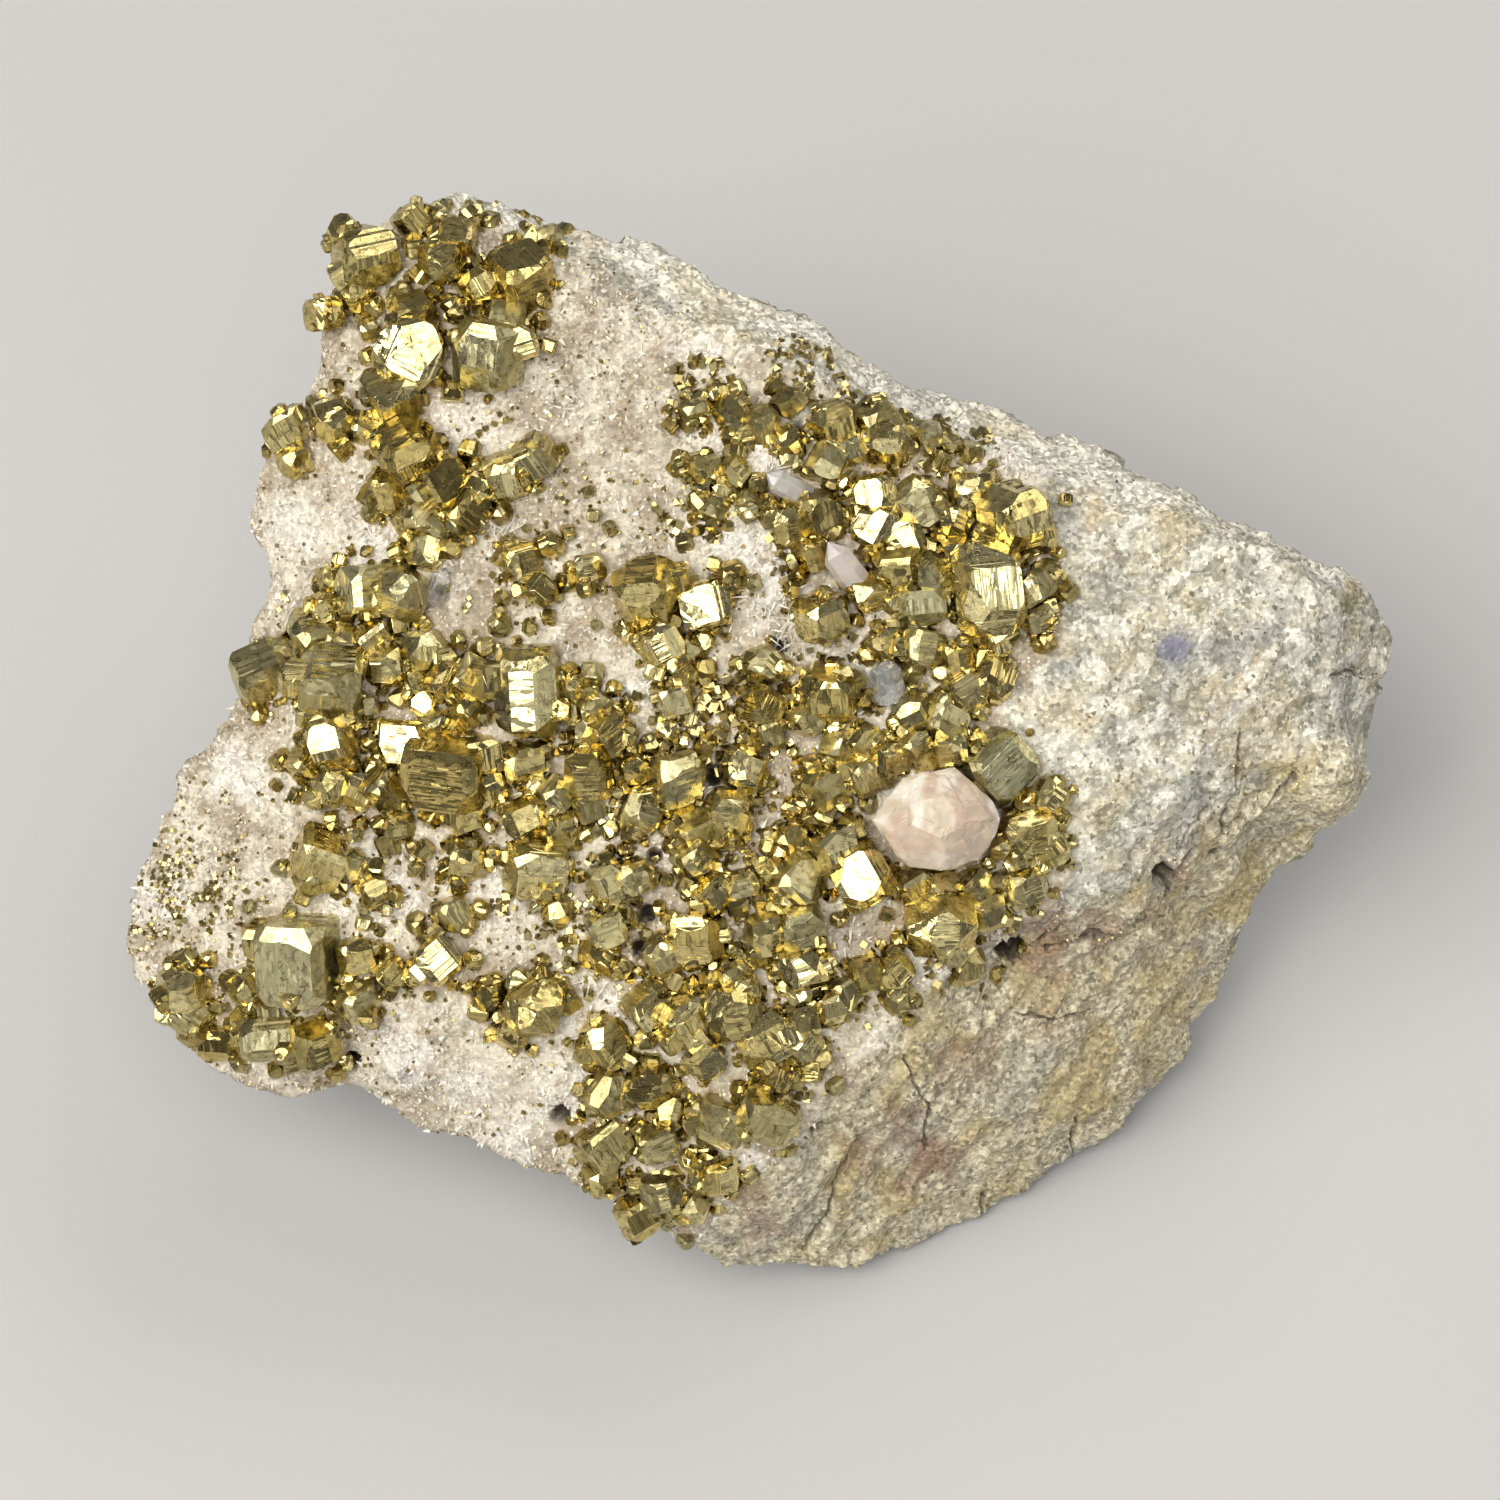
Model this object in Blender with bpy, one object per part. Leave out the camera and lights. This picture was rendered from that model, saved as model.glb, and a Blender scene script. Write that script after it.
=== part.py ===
# Pyrite crystals on a druse of tiny quartz, on a wedge of broken rock.
# The specimen lies on its back, on a flat patch at z = 0, with its crystal face leaning towards -Y.
#
# Places on the crystal face are read on a sight plane that the viewer looks at squarely: x to the right and
# y down, in steps of SIGHT_STEP from the plane's middle, and a depth in millimetres towards the viewer.
# Widths of crystals are in the same steps.

import math

import bmesh
import bpy
from mathutils import Matrix, Vector, noise
from mathutils.bvhtree import BVHTree
from mathutils.geometry import delaunay_2d_cdt

MM = 0.001
SPECIMEN_WIDTH = 73.4 * MM
SPECIMEN_STEPS = 1285
SIGHT_STEP = SPECIMEN_WIDTH / SPECIMEN_STEPS
SIGHT_MIDDLE = 750
SIGHT_TILT = math.radians(60)
SIGHT_DISTANCE = 240 * MM
BASE_DROP = 28.9 * MM
REST_SHIFT = (-0.68 * MM, -4.8 * MM, 0)

FIT_GAP = 0.3 * MM
ROCK_VOXEL = 0.9 * MM
ROCK_TRIANGLES = 2660
BASE_MIDDLE = (2, 4)
BASE_TRIM = 0.5 * MM
FOOT_HEIGHT = 2 * MM
SOLE_SHARE = 0.8
WAIST_BULGE = 1.6 * MM
SMALLEST_PIECE = 1.5 * MM**3

ROCK_COLOUR = (0.58, 0.55, 0.48, 1)
CALCITE_COLOUR = (0.80, 0.64, 0.56, 1)
QUARTZ_COLOUR = (0.78, 0.75, 0.74, 1)
PYRITE_COLOUR = (0.56, 0.47, 0.22, 1)

# Outline of the rock on the sight plane, clockwise from the top left: x, y, depth.
ROCK_RIM = [
    (405, 186, -7), (480, 192, -8), (540, 208, -8), (600, 217, -8), (660, 240, -8), (700, 265, -8),
    (750, 290, -8), (800, 308, -8), (870, 350, -8), (960, 387, -8), (1050, 427, -8), (1110, 452, -8),
    (1175, 472, -8), (1215, 503, -8), (1290, 540, -8), (1368, 566, -8), (1397, 612, -9), (1381, 675, -9),
    (1361, 751, -9), (1345, 805, -9), (1300, 818, -10), (1268, 848, -11), (1262, 880, -13),
    (1245, 925, -16), (1225, 990, -18), (1185, 1045, -18), (1150, 1095, -18), (1110, 1145, -18),
    (1050, 1178, -17), (960, 1228, -16), (870, 1262, -14), (790, 1274, -12), (735, 1273, -10),
    (690, 1247, -8), (620, 1217, -7), (560, 1181, -6), (520, 1170, -6), (450, 1138, -6), (390, 1110, -6),
    (362, 1088, -6), (345, 1078, -7), (290, 1082, -6), (230, 1070, -6), (175, 1025, -7), (130, 990, -7),
    (112, 940, -7), (122, 890, -7), (150, 822, -6), (168, 770, -6), (200, 732, -6), (240, 695, -6),
    (238, 650, -6), (252, 610, -6), (264, 575, -6), (252, 540, -6), (248, 505, -6), (260, 445, -6),
    (298, 397, -6), (312, 350, -6), (324, 300, -6), (325, 250, -6), (352, 215, -6),
]

# Points of the front of the rock inside that outline: the crystal face, the broken face to its right with the
# narrow bevel above it, then the darker side below it.
ROCK_FACE = [
    (440, 215, -4.5), (520, 235, -4), (600, 300, -2.5), (450, 350, -2.5), (330, 400, -3.5), (350, 500, -3),
    (300, 560, -4), (450, 520, -1.5), (560, 450, -1.5), (560, 600, -0.8), (440, 640, -1), (330, 660, -2.5),
    (260, 720, -4), (680, 450, -1), (650, 560, -0.5), (770, 540, 0.6), (790, 610, 0.6), (620, 700, 0),
    (730, 700, 0.2), (450, 760, -0.8), (350, 820, -1.8), (220, 800, -4), (170, 880, -5), (230, 900, -3.5),
    (160, 960, -5.5), (250, 985, -3.5), (330, 985, -2), (352, 1050, -5), (290, 1045, -3.5),
    (440, 880, -0.8), (580, 860, 0), (560, 960, -0.4), (460, 980, -1), (400, 1060, -2), (500, 1080, -2),
    (590, 1080, -1.8), (560, 1120, -3.5), (640, 1170, -3.5), (700, 1100, -1), (660, 1000, -0.2),
    (720, 900, 0.6), (740, 800, 0.3), (840, 700, 0.8), (840, 560, 0.2), (760, 440, -0.6), (860, 440, -0.6),
    (960, 500, 0), (1010, 600, 0.3), (950, 700, 1), (900, 800, 0.8), (860, 900, 0.8), (800, 1000, 0.4),
    (760, 1120, -1), (440, 250, -3.2), (580, 256, -3.6), (700, 316, -2.6), (823, 372, -2.2),
    (906, 425, -1.6), (976, 454, -1.2), (1100, 489, -0.8), (1202, 524, -0.9), (1265, 546, -1.6),
    (1318, 574, -2.4), (1110, 570, 0.3), (1208, 600, -0.4), (1300, 640, -1.6), (1350, 640, -4),
    (1100, 700, 0.8), (1200, 710, -0.2), (1330, 740, -4.5), (1080, 800, 0.6), (1170, 800, -0.4),
    (1240, 745, -1.2), (1290, 770, -4.2), (1230, 820, -4.5), (1060, 870, 0), (1130, 870, -1.2),
    (1160, 850, -1.6), (1000, 925, -0.4), (1066, 905, -1), (1140, 895, -2.2), (1200, 845, -4.8),
    (1180, 885, -7.5), (1235, 865, -8.5), (1010, 950, -4.5), (1080, 938, -5), (1155, 918, -8),
    (1225, 900, -13), (930, 985, -0.8), (990, 1010, -5), (1060, 1030, -7.5), (1150, 1000, -11.5),
    (1110, 1090, -13), (960, 1100, -7), (1020, 1140, -12), (860, 1070, -1.4), (850, 1160, -6),
    (900, 1200, -11), (800, 1135, -2), (735, 1190, -3), (790, 1220, -7), (700, 1232, -5.5),
]

# Outline of the flat patch that the specimen lies on, in millimetres on z = 0, clockwise from the front.
BASE_OUTLINE = [
    (-2, -15), (-10, -9.5), (-17, -4.5), (-23, 1.5), (-23.5, 9), (-19, 17.5), (-12, 22.5), (-2, 21.5),
    (10, 17.5), (20, 12), (26, 6), (26.5, 0), (23, -6), (17, -10.5), (8, -14.2),
]

# Each pyrite crystal: x, y, width, habit, then its turns in degrees: lean back, swing to the right, roll.
UPPER_LEFT = [
    (365, 257, 84, "mixed", 12, 30, 8), (442, 262, 48, "mixed", 35, 20, 20),
    (458, 241, 44, "cube", 50, -10, 4), (522, 279, 62, "cube", 42, 24, 6),
    (480, 286, 46, "mixed", 8, 10, 30), (414, 314, 54, "mixed", 34, 12, 12),
    (412, 353, 70, "cube", 24, 34, -22), (491, 354, 76, "mixed", 14, -14, -6),
    (505, 324, 50, "cube", 52, -8, 0), (393, 395, 60, "cube", 48, 16, 12),
    (324, 314, 36, "cube", 10, 40, 10), (352, 300, 34, "mixed", 30, 30, 50),
    (414, 222, 40, "mixed", 20, 10, 40), (548, 240, 34, "mixed", 30, 20, 10),
]
LEFT_EDGE = [
    (287, 430, 46, "mixed", 14, -10, 30), (334, 420, 46, "mixed", 46, 10, 10),
    (295, 460, 34, "cube", 30, 30, 10), (365, 428, 34, "mixed", 20, 20, 60),
]
LEFT_CLUMP = [
    (412, 458, 80, "mixed", 44, 6, 24), (440, 482, 54, "cube", 20, 24, 30),
    (387, 490, 44, "mixed", 30, -20, 10), (419, 517, 46, "mixed", 10, 30, 40),
    (466, 510, 44, "cube", 36, 10, 50), (505, 477, 46, "mixed", 20, 10, 15),
    (533, 460, 46, "mixed", 26, -24, 35), (478, 487, 34, "mixed", 12, 14, 70),
]
LEFT_MIDDLE = [
    (425, 552, 38, "mixed", 30, 16, 70), (367, 588, 58, "cube", 6, 34, 4),
    (404, 593, 64, "octahedral", 20, 40, 12), (327, 606, 40, "mixed", 20, 30, 10),
    (314, 640, 46, "mixed", 34, 20, 5), (348, 642, 34, "mixed", 10, 20, 60),
    (372, 640, 40, "cube", 30, 10, 33), (389, 665, 46, "mixed", 20, -26, 8),
    (424, 650, 48, "octahedral", 4, 20, 4), (420, 678, 36, "mixed", 20, 20, 20),
    (262, 676, 64, "mixed", 46, 20, 12), (332, 688, 76, "mixed", 48, 6, -6),
    (336, 742, 62, "mixed", 22, -18, 20), (306, 763, 36, "cube", 30, 30, 40),
    (332, 787, 46, "mixed", 8, 24, 10), (360, 787, 46, "mixed", 10, -12, 66),
    (386, 787, 48, "cube", 34, 24, 40), (405, 742, 54, "cube", 8, -8, -4),
    (449, 770, 84, "cube", 30, -14, 0), (436, 726, 36, "mixed", 40, 12, 20),
    (467, 712, 38, "mixed", 16, 24, 40), (446, 680, 38, "mixed", 38, 12, 60),
    (471, 680, 46, "cube", 18, 30, 60), (464, 814, 40, "mixed", 20, 10, 16),
    (530, 690, 88, "tall", 4, 4, 2), (398, 826, 34, "mixed", 30, 20, 0),
    (489, 790, 40, "mixed", 18, 34, 14),
]
CENTRE = [
    (520, 562, 44, "mixed", 18, 24, 10), (541, 590, 40, "mixed", 10, 16, 50),
    (590, 569, 34, "mixed", 24, 12, 5), (649, 602, 94, "cube", 42, -16, 16),
    (706, 603, 50, "cube", 4, 8, 12), (732, 577, 34, "mixed", 30, 20, 10),
    (765, 665, 42, "mixed", 22, 18, 50), (678, 663, 40, "mixed", 30, 20, 30),
    (673, 700, 38, "cube", 18, 14, 10), (594, 708, 38, "mixed", 44, 10, 30),
    (584, 737, 38, "mixed", 24, 20, 60), (611, 731, 44, "cube", 26, 20, 32),
    (571, 690, 34, "mixed", 10, 30, 10), (590, 772, 58, "mixed", 26, -20, 10),
    (524, 762, 48, "mixed", 30, 16, 8), (557, 794, 42, "mixed", 20, 12, 44),
    (525, 817, 50, "mixed", 10, 4, 24), (563, 828, 42, "mixed", 40, 6, 5),
    (587, 806, 34, "cube", 20, 20, 15), (635, 770, 34, "mixed", 40, 6, 30),
    (639, 814, 44, "mixed", 20, 14, 70), (677, 778, 54, "mixed", 26, 24, 6),
    (743, 770, 48, "mixed", 20, 16, 62), (761, 706, 44, "cube", 36, 10, 58),
    (767, 737, 36, "mixed", 10, 24, 20), (729, 814, 60, "mixed", 38, 6, -6),
    (696, 829, 48, "cube", 42, 12, 20), (696, 857, 44, "mixed", 30, 20, 40),
    (814, 785, 36, "mixed", 16, 18, 22), (661, 640, 34, "mixed", 20, 20, 0),
]
TOP = [
    (692, 410, 36, "mixed", 40, 16, 6), (732, 415, 38, "mixed", 26, 16, 50),
    (762, 425, 38, "cube", 34, 20, 14), (789, 445, 38, "mixed", 40, 8, 30),
    (703, 470, 40, "mixed", 20, 20, 10), (733, 474, 38, "mixed", 10, 26, 46),
    (715, 507, 36, "mixed", 36, 14, 60), (787, 527, 42, "mixed", 20, 20, 5),
    (833, 425, 48, "mixed", 20, 12, 16), (875, 422, 44, "cube", 30, 24, 36),
    (884, 446, 52, "mixed", 46, -8, 4), (826, 464, 44, "mixed", 10, 20, 62),
    (927, 438, 36, "mixed", 30, 18, 22), (788, 402, 34, "mixed", 30, 10, 40),
    (852, 450, 34, "mixed", 10, 18, 22),
]
RIGHT = [
    (875, 494, 42, "mixed", 4, 6, 10), (874, 526, 44, "mixed", 6, 2, 62), (904, 538, 36, "cube", 6, 10, 22),
    (819, 514, 48, "mixed", 20, 20, 14), (917, 504, 52, "mixed", 18, -12, 40),
    (951, 522, 40, "mixed", 22, 18, 66), (968, 494, 42, "mixed", 30, 12, 8),
    (1010, 520, 80, "mixed", 24, 34, 6), (986, 588, 92, "mixed", 6, 8, 8),
    (1047, 579, 38, "mixed", 20, 20, 40), (1036, 618, 36, "mixed", 30, 26, 10),
    (958, 553, 38, "cube", 30, 12, 3), (931, 575, 48, "mixed", 20, 16, 30),
    (898, 567, 50, "mixed", 34, -14, 12), (869, 592, 38, "cube", 40, 14, 8),
    (923, 606, 48, "tall", 10, 8, 4), (921, 647, 46, "mixed", 8, 14, -8),
    (884, 642, 36, "mixed", 24, 20, 40), (957, 660, 38, "mixed", 16, 24, 12),
    (964, 690, 48, "mixed", 30, 16, 24), (992, 678, 44, "mixed", 26, 30, 58),
    (914, 712, 48, "mixed", 24, -10, 30), (944, 718, 50, "mixed", 30, 16, 62),
    (829, 693, 60, "mixed", 30, -12, 6), (806, 718, 40, "mixed", 20, 22, 32),
    (821, 616, 54, "tall", 30, 26, 10), (998, 766, 68, "cube", 24, 10, 42),
    (997, 640, 36, "mixed", 20, 12, 20), (812, 555, 34, "mixed", 20, 30, 20),
]
RIGHT_LOWER = [
    (915, 744, 38, "mixed", 30, 16, 30), (950, 747, 44, "mixed", 30, -14, 8),
    (889, 757, 42, "tall", 16, 30, 4), (863, 741, 36, "mixed", 26, 20, 50),
    (867, 775, 38, "cube", 20, 16, 18), (839, 746, 34, "mixed", 40, 12, 60),
    (826, 789, 42, "mixed", 22, 16, 28), (848, 768, 36, "mixed", 20, 20, 0),
    (836, 847, 60, "mixed", 20, 14, 16), (861, 876, 60, "octahedral", 2, 4, 30),
    (797, 880, 54, "cube", 20, 24, 48), (800, 925, 54, "mixed", 22, 14, 4),
    (912, 884, 40, "mixed", 30, 20, 20), (944, 886, 42, "mixed", 34, 10, 3),
    (974, 886, 42, "cube", 28, 24, 40), (940, 921, 74, "octahedral", 12, 6, 2),
    (986, 910, 40, "mixed", 20, 24, 10), (1025, 831, 58, "mixed", 22, 18, 8),
    (1049, 846, 42, "mixed", 18, 16, 40), (1022, 886, 48, "mixed", 20, 26, 12),
    (1049, 797, 40, "mixed", 20, 16, 55), (802, 967, 56, "mixed", 12, 10, 18),
    (865, 972, 36, "cube", 24, 20, 12), (893, 972, 44, "mixed", 12, 14, 42),
    (845, 990, 34, "mixed", 26, 20, 24), (897, 996, 36, "mixed", 20, 12, 14),
    (966, 965, 40, "mixed", 24, 22, 5), (767, 934, 48, "mixed", 34, 10, 20),
    (790, 838, 36, "mixed", 30, 20, 36), (741, 884, 36, "mixed", 20, 12, 10),
    (712, 893, 38, "mixed", 30, 18, 40),
]
LOWER_LEFT = [
    (320, 858, 56, "cube", 30, 20, -30), (350, 866, 34, "mixed", 26, 20, 20),
    (299, 958, 92, "cube", 28, -20, 2), (356, 955, 44, "mixed", 10, 14, 10),
    (247, 986, 40, "mixed", 20, 30, 24), (375, 892, 38, "mixed", 26, 12, 20),
    (438, 959, 54, "mixed", 16, 12, 40), (454, 914, 36, "cube", 14, 20, 30),
    (467, 860, 44, "mixed", 40, 10, -12), (537, 866, 64, "mixed", 38, 14, -14),
    (186, 986, 54, "mixed", 38, 14, 20), (192, 1014, 56, "mixed", 16, 14, 50),
    (219, 1042, 46, "tall", 14, -24, 4), (266, 1037, 56, "tall", 6, 8, 4),
    (314, 1042, 60, "mixed", 24, 20, 14), (360, 1000, 44, "mixed", 30, 26, 20),
    (390, 972, 36, "mixed", 20, 12, 44), (535, 1006, 68, "octahedral", 34, 8, 30),
    (490, 990, 36, "mixed", 20, 24, 6), (512, 1030, 40, "mixed", 24, 18, 50),
]
LOWER_MIDDLE = [
    (606, 928, 40, "cube", 12, 10, 20), (600, 956, 42, "mixed", 28, 20, 60),
    (696, 936, 64, "mixed", 8, -16, 4), (664, 953, 46, "mixed", 28, 14, 20),
    (634, 877, 42, "mixed", 20, 24, 12), (608, 883, 46, "mixed", 10, 12, 24),
    (650, 1008, 50, "mixed", 32, 14, 36), (686, 1016, 56, "mixed", 36, 16, 30),
    (732, 1010, 62, "octahedral", 20, 6, 8), (764, 1039, 58, "mixed", 6, 10, 28),
    (735, 977, 36, "mixed", 34, 12, 16), (803, 1020, 38, "mixed", 14, 22, 8),
    (802, 1045, 40, "mixed", 30, 24, 40), (832, 1004, 36, "mixed", 22, 12, 10),
    (606, 1041, 50, "mixed", 16, 26, 34), (608, 1092, 50, "mixed", 24, 10, 50),
    (652, 1084, 54, "octahedral", 16, -18, 6), (606, 1143, 52, "cube", 20, 14, 34),
    (656, 1140, 44, "cube", 34, 12, 14), (670, 1110, 38, "mixed", 20, 10, 70),
    (719, 1119, 56, "tall", 18, 14, -34), (766, 1115, 60, "tall", 24, 20, -34),
    (660, 1190, 50, "mixed", 10, 8, 12), (602, 1178, 42, "mixed", 30, 26, 6),
    (692, 1206, 40, "mixed", 18, 20, 60), (636, 1216, 46, "mixed", 24, 14, 24),
    (716, 1174, 44, "mixed", 26, 20, 8), (705, 1060, 40, "mixed", 16, 14, 40),
    (777, 1076, 36, "mixed", 30, 20, 60),
]
PYRITE_GROUPS = {
    "pyrite_upper_left": UPPER_LEFT,
    "pyrite_left_edge": LEFT_EDGE,
    "pyrite_left_clump": LEFT_CLUMP,
    "pyrite_left_middle": LEFT_MIDDLE,
    "pyrite_centre": CENTRE,
    "pyrite_top": TOP,
    "pyrite_right": RIGHT,
    "pyrite_right_lower": RIGHT_LOWER,
    "pyrite_lower_left": LOWER_LEFT,
    "pyrite_lower_middle": LOWER_MIDDLE,
}

# Each habit: edge stretch in x, y and z, then how far out the corner-cutting faces stand, in half edges.
HABITS = {
    "cube": ((1, 1, 1), 2.55),
    "mixed": ((1, 1.08, 0.95), 2.2),
    "tall": ((0.82, 1.25, 0.9), 2.35),
    "octahedral": ((1, 1, 1), 1.75),
}
EDGE_OF_WIDTH = 0.82
CRYSTAL_LIFT = 0.16
PLAIN_BELOW = 56
MERGE = 0.001 * MM
SLIVER_STEPS = [0.005 * MM, 0.01 * MM, 0.015 * MM, 0.02 * MM, 0.03 * MM, 0.05 * MM]

# Calcite crystal: its outline on the sight plane, and the part of that outline its front facet keeps.
CALCITE_OUTLINE = [
    (871, 820), (884, 798), (902, 777), (921, 771), (955, 766), (968, 782), (996, 802), (1002, 818),
    (998, 833), (988, 847), (982, 863), (949, 870), (909, 868), (890, 847),
]
CALCITE_MIDDLE = (935, 816)
CALCITE_DEPTHS = {"back": 0.2 * MM, "waist": 2.2 * MM, "front": 3.6 * MM}
CALCITE_SHRINK = {"back": 0.80, "waist": 1.0, "front": 0.62}

# Each quartz crystal: x, y, length, width, lean towards the viewer and turn in the sight plane, in degrees.
QUARTZ_CRYSTALS = {
    "quartz_blade_pink": (842, 567, 72, 30, 18, 38),
    "quartz_blade_grey": (783, 488, 54, 26, 24, 62),
    "quartz_crystal_clear": (441, 583, 42, 22, 20, -20),
    "quartz_crystal_blue": (886, 678, 46, 34, 30, 12),
}


def clear_scene():
    for obj in list(bpy.data.objects):
        bpy.data.objects.remove(obj, do_unlink=True)


def make_material(name, colour, roughness, metallic=0.0):
    material = bpy.data.materials.new(name)
    material.use_nodes = True
    shader = material.node_tree.nodes["Principled BSDF"]
    shader.inputs["Base Color"].default_value = colour
    shader.inputs["Roughness"].default_value = roughness
    shader.inputs["Metallic"].default_value = metallic
    return material


def add_object(name, bm, material=None):
    mesh = bpy.data.meshes.new(name)
    bm.to_mesh(mesh)
    bm.free()
    obj = bpy.data.objects.new(name, mesh)
    bpy.context.scene.collection.objects.link(obj)
    if material:
        mesh.materials.append(material)
    return obj


def mesh_from_modifiers(obj):
    depsgraph = bpy.context.evaluated_depsgraph_get()
    bm = bmesh.new()
    bm.from_object(obj, depsgraph)
    bpy.data.objects.remove(obj, do_unlink=True)
    return bm


# The sight plane's own axes in the world: right, up in the view, and towards the viewer.
SIGHT_RIGHT = Vector((1, 0, 0))
SIGHT_UP = Vector((0, math.sin(SIGHT_TILT), math.cos(SIGHT_TILT)))
SIGHT_OUT = Vector((0, -math.cos(SIGHT_TILT), math.sin(SIGHT_TILT)))
SIGHT_ORIGIN = Vector((0, 0, BASE_DROP))
EYE = SIGHT_ORIGIN + SIGHT_OUT * SIGHT_DISTANCE
SIGHT_AXES = Matrix((SIGHT_RIGHT, SIGHT_UP, SIGHT_OUT)).transposed()


def sight_point(x, y, depth=0.0):
    # The point seen at x, y that stands depth metres in front of the sight plane.
    on_plane = SIGHT_ORIGIN + SIGHT_RIGHT * ((x - SIGHT_MIDDLE) * SIGHT_STEP)
    on_plane += SIGHT_UP * ((SIGHT_MIDDLE - y) * SIGHT_STEP)
    return on_plane + (EYE - on_plane) * (depth / SIGHT_DISTANCE)


def base_point(direction, middle):
    # Where a ray from the middle of the base patch, in a level direction, meets the patch's outline.
    corners = [Vector((x * MM, y * MM)) for x, y in BASE_OUTLINE]
    for start, end in zip(corners, corners[1:] + corners[:1]):
        along = end - start
        across = direction.x * along.y - direction.y * along.x
        if abs(across) < 1e-12:
            continue
        offset = start - middle
        reach = (offset.x * along.y - offset.y * along.x) / across
        share = (offset.x * direction.y - offset.y * direction.x) / across
        if reach > 0 and 0 <= share <= 1:
            return middle + direction * reach
    return middle


def rough_offset(point, size, seed):
    # Smooth noise in about -1 to 1, with lumps of the given size.
    return noise.noise(point / size + Vector((seed, 2 * seed, 3 * seed)))


def rock_cage():
    # The rock's own planes: the front from the face points, then walls down to the base patch.
    bm = bmesh.new()
    rim = [sight_point(x, y, depth * MM) for x, y, depth in ROCK_RIM]
    face = [sight_point(x, y, depth * MM) for x, y, depth in ROCK_FACE]
    flat = [Vector((x, -y)) for x, y, _ in ROCK_RIM + ROCK_FACE]
    count = len(rim)
    ring = [(i, (i + 1) % count) for i in range(count)]
    places, _, triangles, origins, _, _ = delaunay_2d_cdt(flat, ring, [], 1, 1e-4)
    points = rim + face
    corners = [bm.verts.new(points[origin[0]]) for origin in origins]
    for triangle in triangles:
        bm.faces.new([corners[i] for i in triangle])
    by_origin = {origin[0]: corner for origin, corner in zip(origins, corners)}

    middle = Vector(BASE_MIDDLE) * MM
    waist = []
    foot = []
    sole = []
    for point in rim:
        level = Vector((point.x, point.y)) - middle
        reach = base_point(level.normalized(), middle)
        low = Vector((reach.x, reach.y, FOOT_HEIGHT))
        inner = middle.lerp(reach, SOLE_SHARE)
        half = point.lerp(low, 0.5)
        out = Vector((level.x, level.y, 0)).normalized()
        front = max(0.0, -out.y)
        half += out * WAIST_BULGE * (1 - 2.6 * front)
        waist.append(bm.verts.new(half))
        foot.append(bm.verts.new(low))
        sole.append(bm.verts.new((inner.x, inner.y, -FOOT_HEIGHT)))
    top = [by_origin[i] for i in range(count)]
    for upper, lower in ((top, waist), (waist, foot), (foot, sole)):
        for i, j in ring:
            bm.faces.new((upper[i], upper[j], lower[j], lower[i]))
    bm.faces.new(sole)
    bmesh.ops.recalc_face_normals(bm, faces=bm.faces)
    return bm


def chipped_offset(point, size, seed):
    # Tilted flats with small steps between them, as on broken rock: one flat for each cell of the noise.
    at = point / size + Vector((seed, seed, seed))
    cell = noise.voronoi(at)[1][0]
    tilt = Vector([noise.noise(cell * 5.3 + Vector((apart, 0, 0))) for apart in (0, 17.3, 34.6)])
    return (at - cell).dot(tilt) * 2.2 + tilt.x * 0.35


def make_rock(material):
    obj = add_object("rock_cage", rock_cage())
    voxels = obj.modifiers.new("voxels", "REMESH")
    voxels.mode = "VOXEL"
    voxels.voxel_size = ROCK_VOXEL
    bm = mesh_from_modifiers(obj)

    bm.normal_update()
    for vert in bm.verts:
        lumps = 0.5 * rough_offset(vert.co, 7 * MM, 3.1) + 0.3 * rough_offset(vert.co, 2.6 * MM, 7.7)
        chips = 0.8 * chipped_offset(vert.co, 6.5 * MM, 1.7) + 0.35 * chipped_offset(vert.co, 2.8 * MM, 4.3)
        facing = max(0.0, vert.normal.dot(SIGHT_OUT))
        vert.co += vert.normal * (lumps + chips) * (1.0 - 0.75 * facing) * MM
    bmesh.ops.smooth_vert(bm, verts=bm.verts, factor=0.5, use_axis_x=True, use_axis_y=True, use_axis_z=True)

    obj = add_object("rock_rough", bm)
    fewer = obj.modifiers.new("fewer", "DECIMATE")
    fewer.ratio = ROCK_TRIANGLES / sum(len(f.vertices) - 2 for f in obj.data.polygons)
    fewer.use_collapse_triangulate = True
    bm = mesh_from_modifiers(obj)
    cut = bmesh.ops.bisect_plane(
        bm, geom=bm.verts[:] + bm.edges[:] + bm.faces[:], dist=1e-7,
        plane_co=(0, 0, BASE_TRIM), plane_no=(0, 0, 1), clear_inner=True,
    )
    rim_edges = [e for e in cut["geom_cut"] if isinstance(e, bmesh.types.BMEdge)]
    bmesh.ops.contextual_create(bm, geom=rim_edges)
    bmesh.ops.recalc_face_normals(bm, faces=bm.faces)
    bmesh.ops.translate(bm, verts=bm.verts, vec=(0, 0, -BASE_TRIM))
    return add_object("matrix_rock", bm, material)


def cut_corner(bm, normal, distance):
    # Takes off what lies beyond a plane and closes the cut with one face.
    cut = bmesh.ops.bisect_plane(
        bm, geom=bm.verts[:] + bm.edges[:] + bm.faces[:], dist=1e-8,
        plane_co=normal * distance, plane_no=normal, clear_outer=True,
    )
    edges = [e for e in cut["geom_cut"] if isinstance(e, bmesh.types.BMEdge)]
    if len(edges) > 2:
        bmesh.ops.contextual_create(bm, geom=edges)


def crystal_turn(lean, swing, roll):
    turn = Matrix.Rotation(math.radians(roll), 3, "Z")
    turn = turn @ Matrix.Rotation(math.radians(lean), 3, "X")
    return turn @ Matrix.Rotation(math.radians(swing), 3, "Y")


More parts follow.
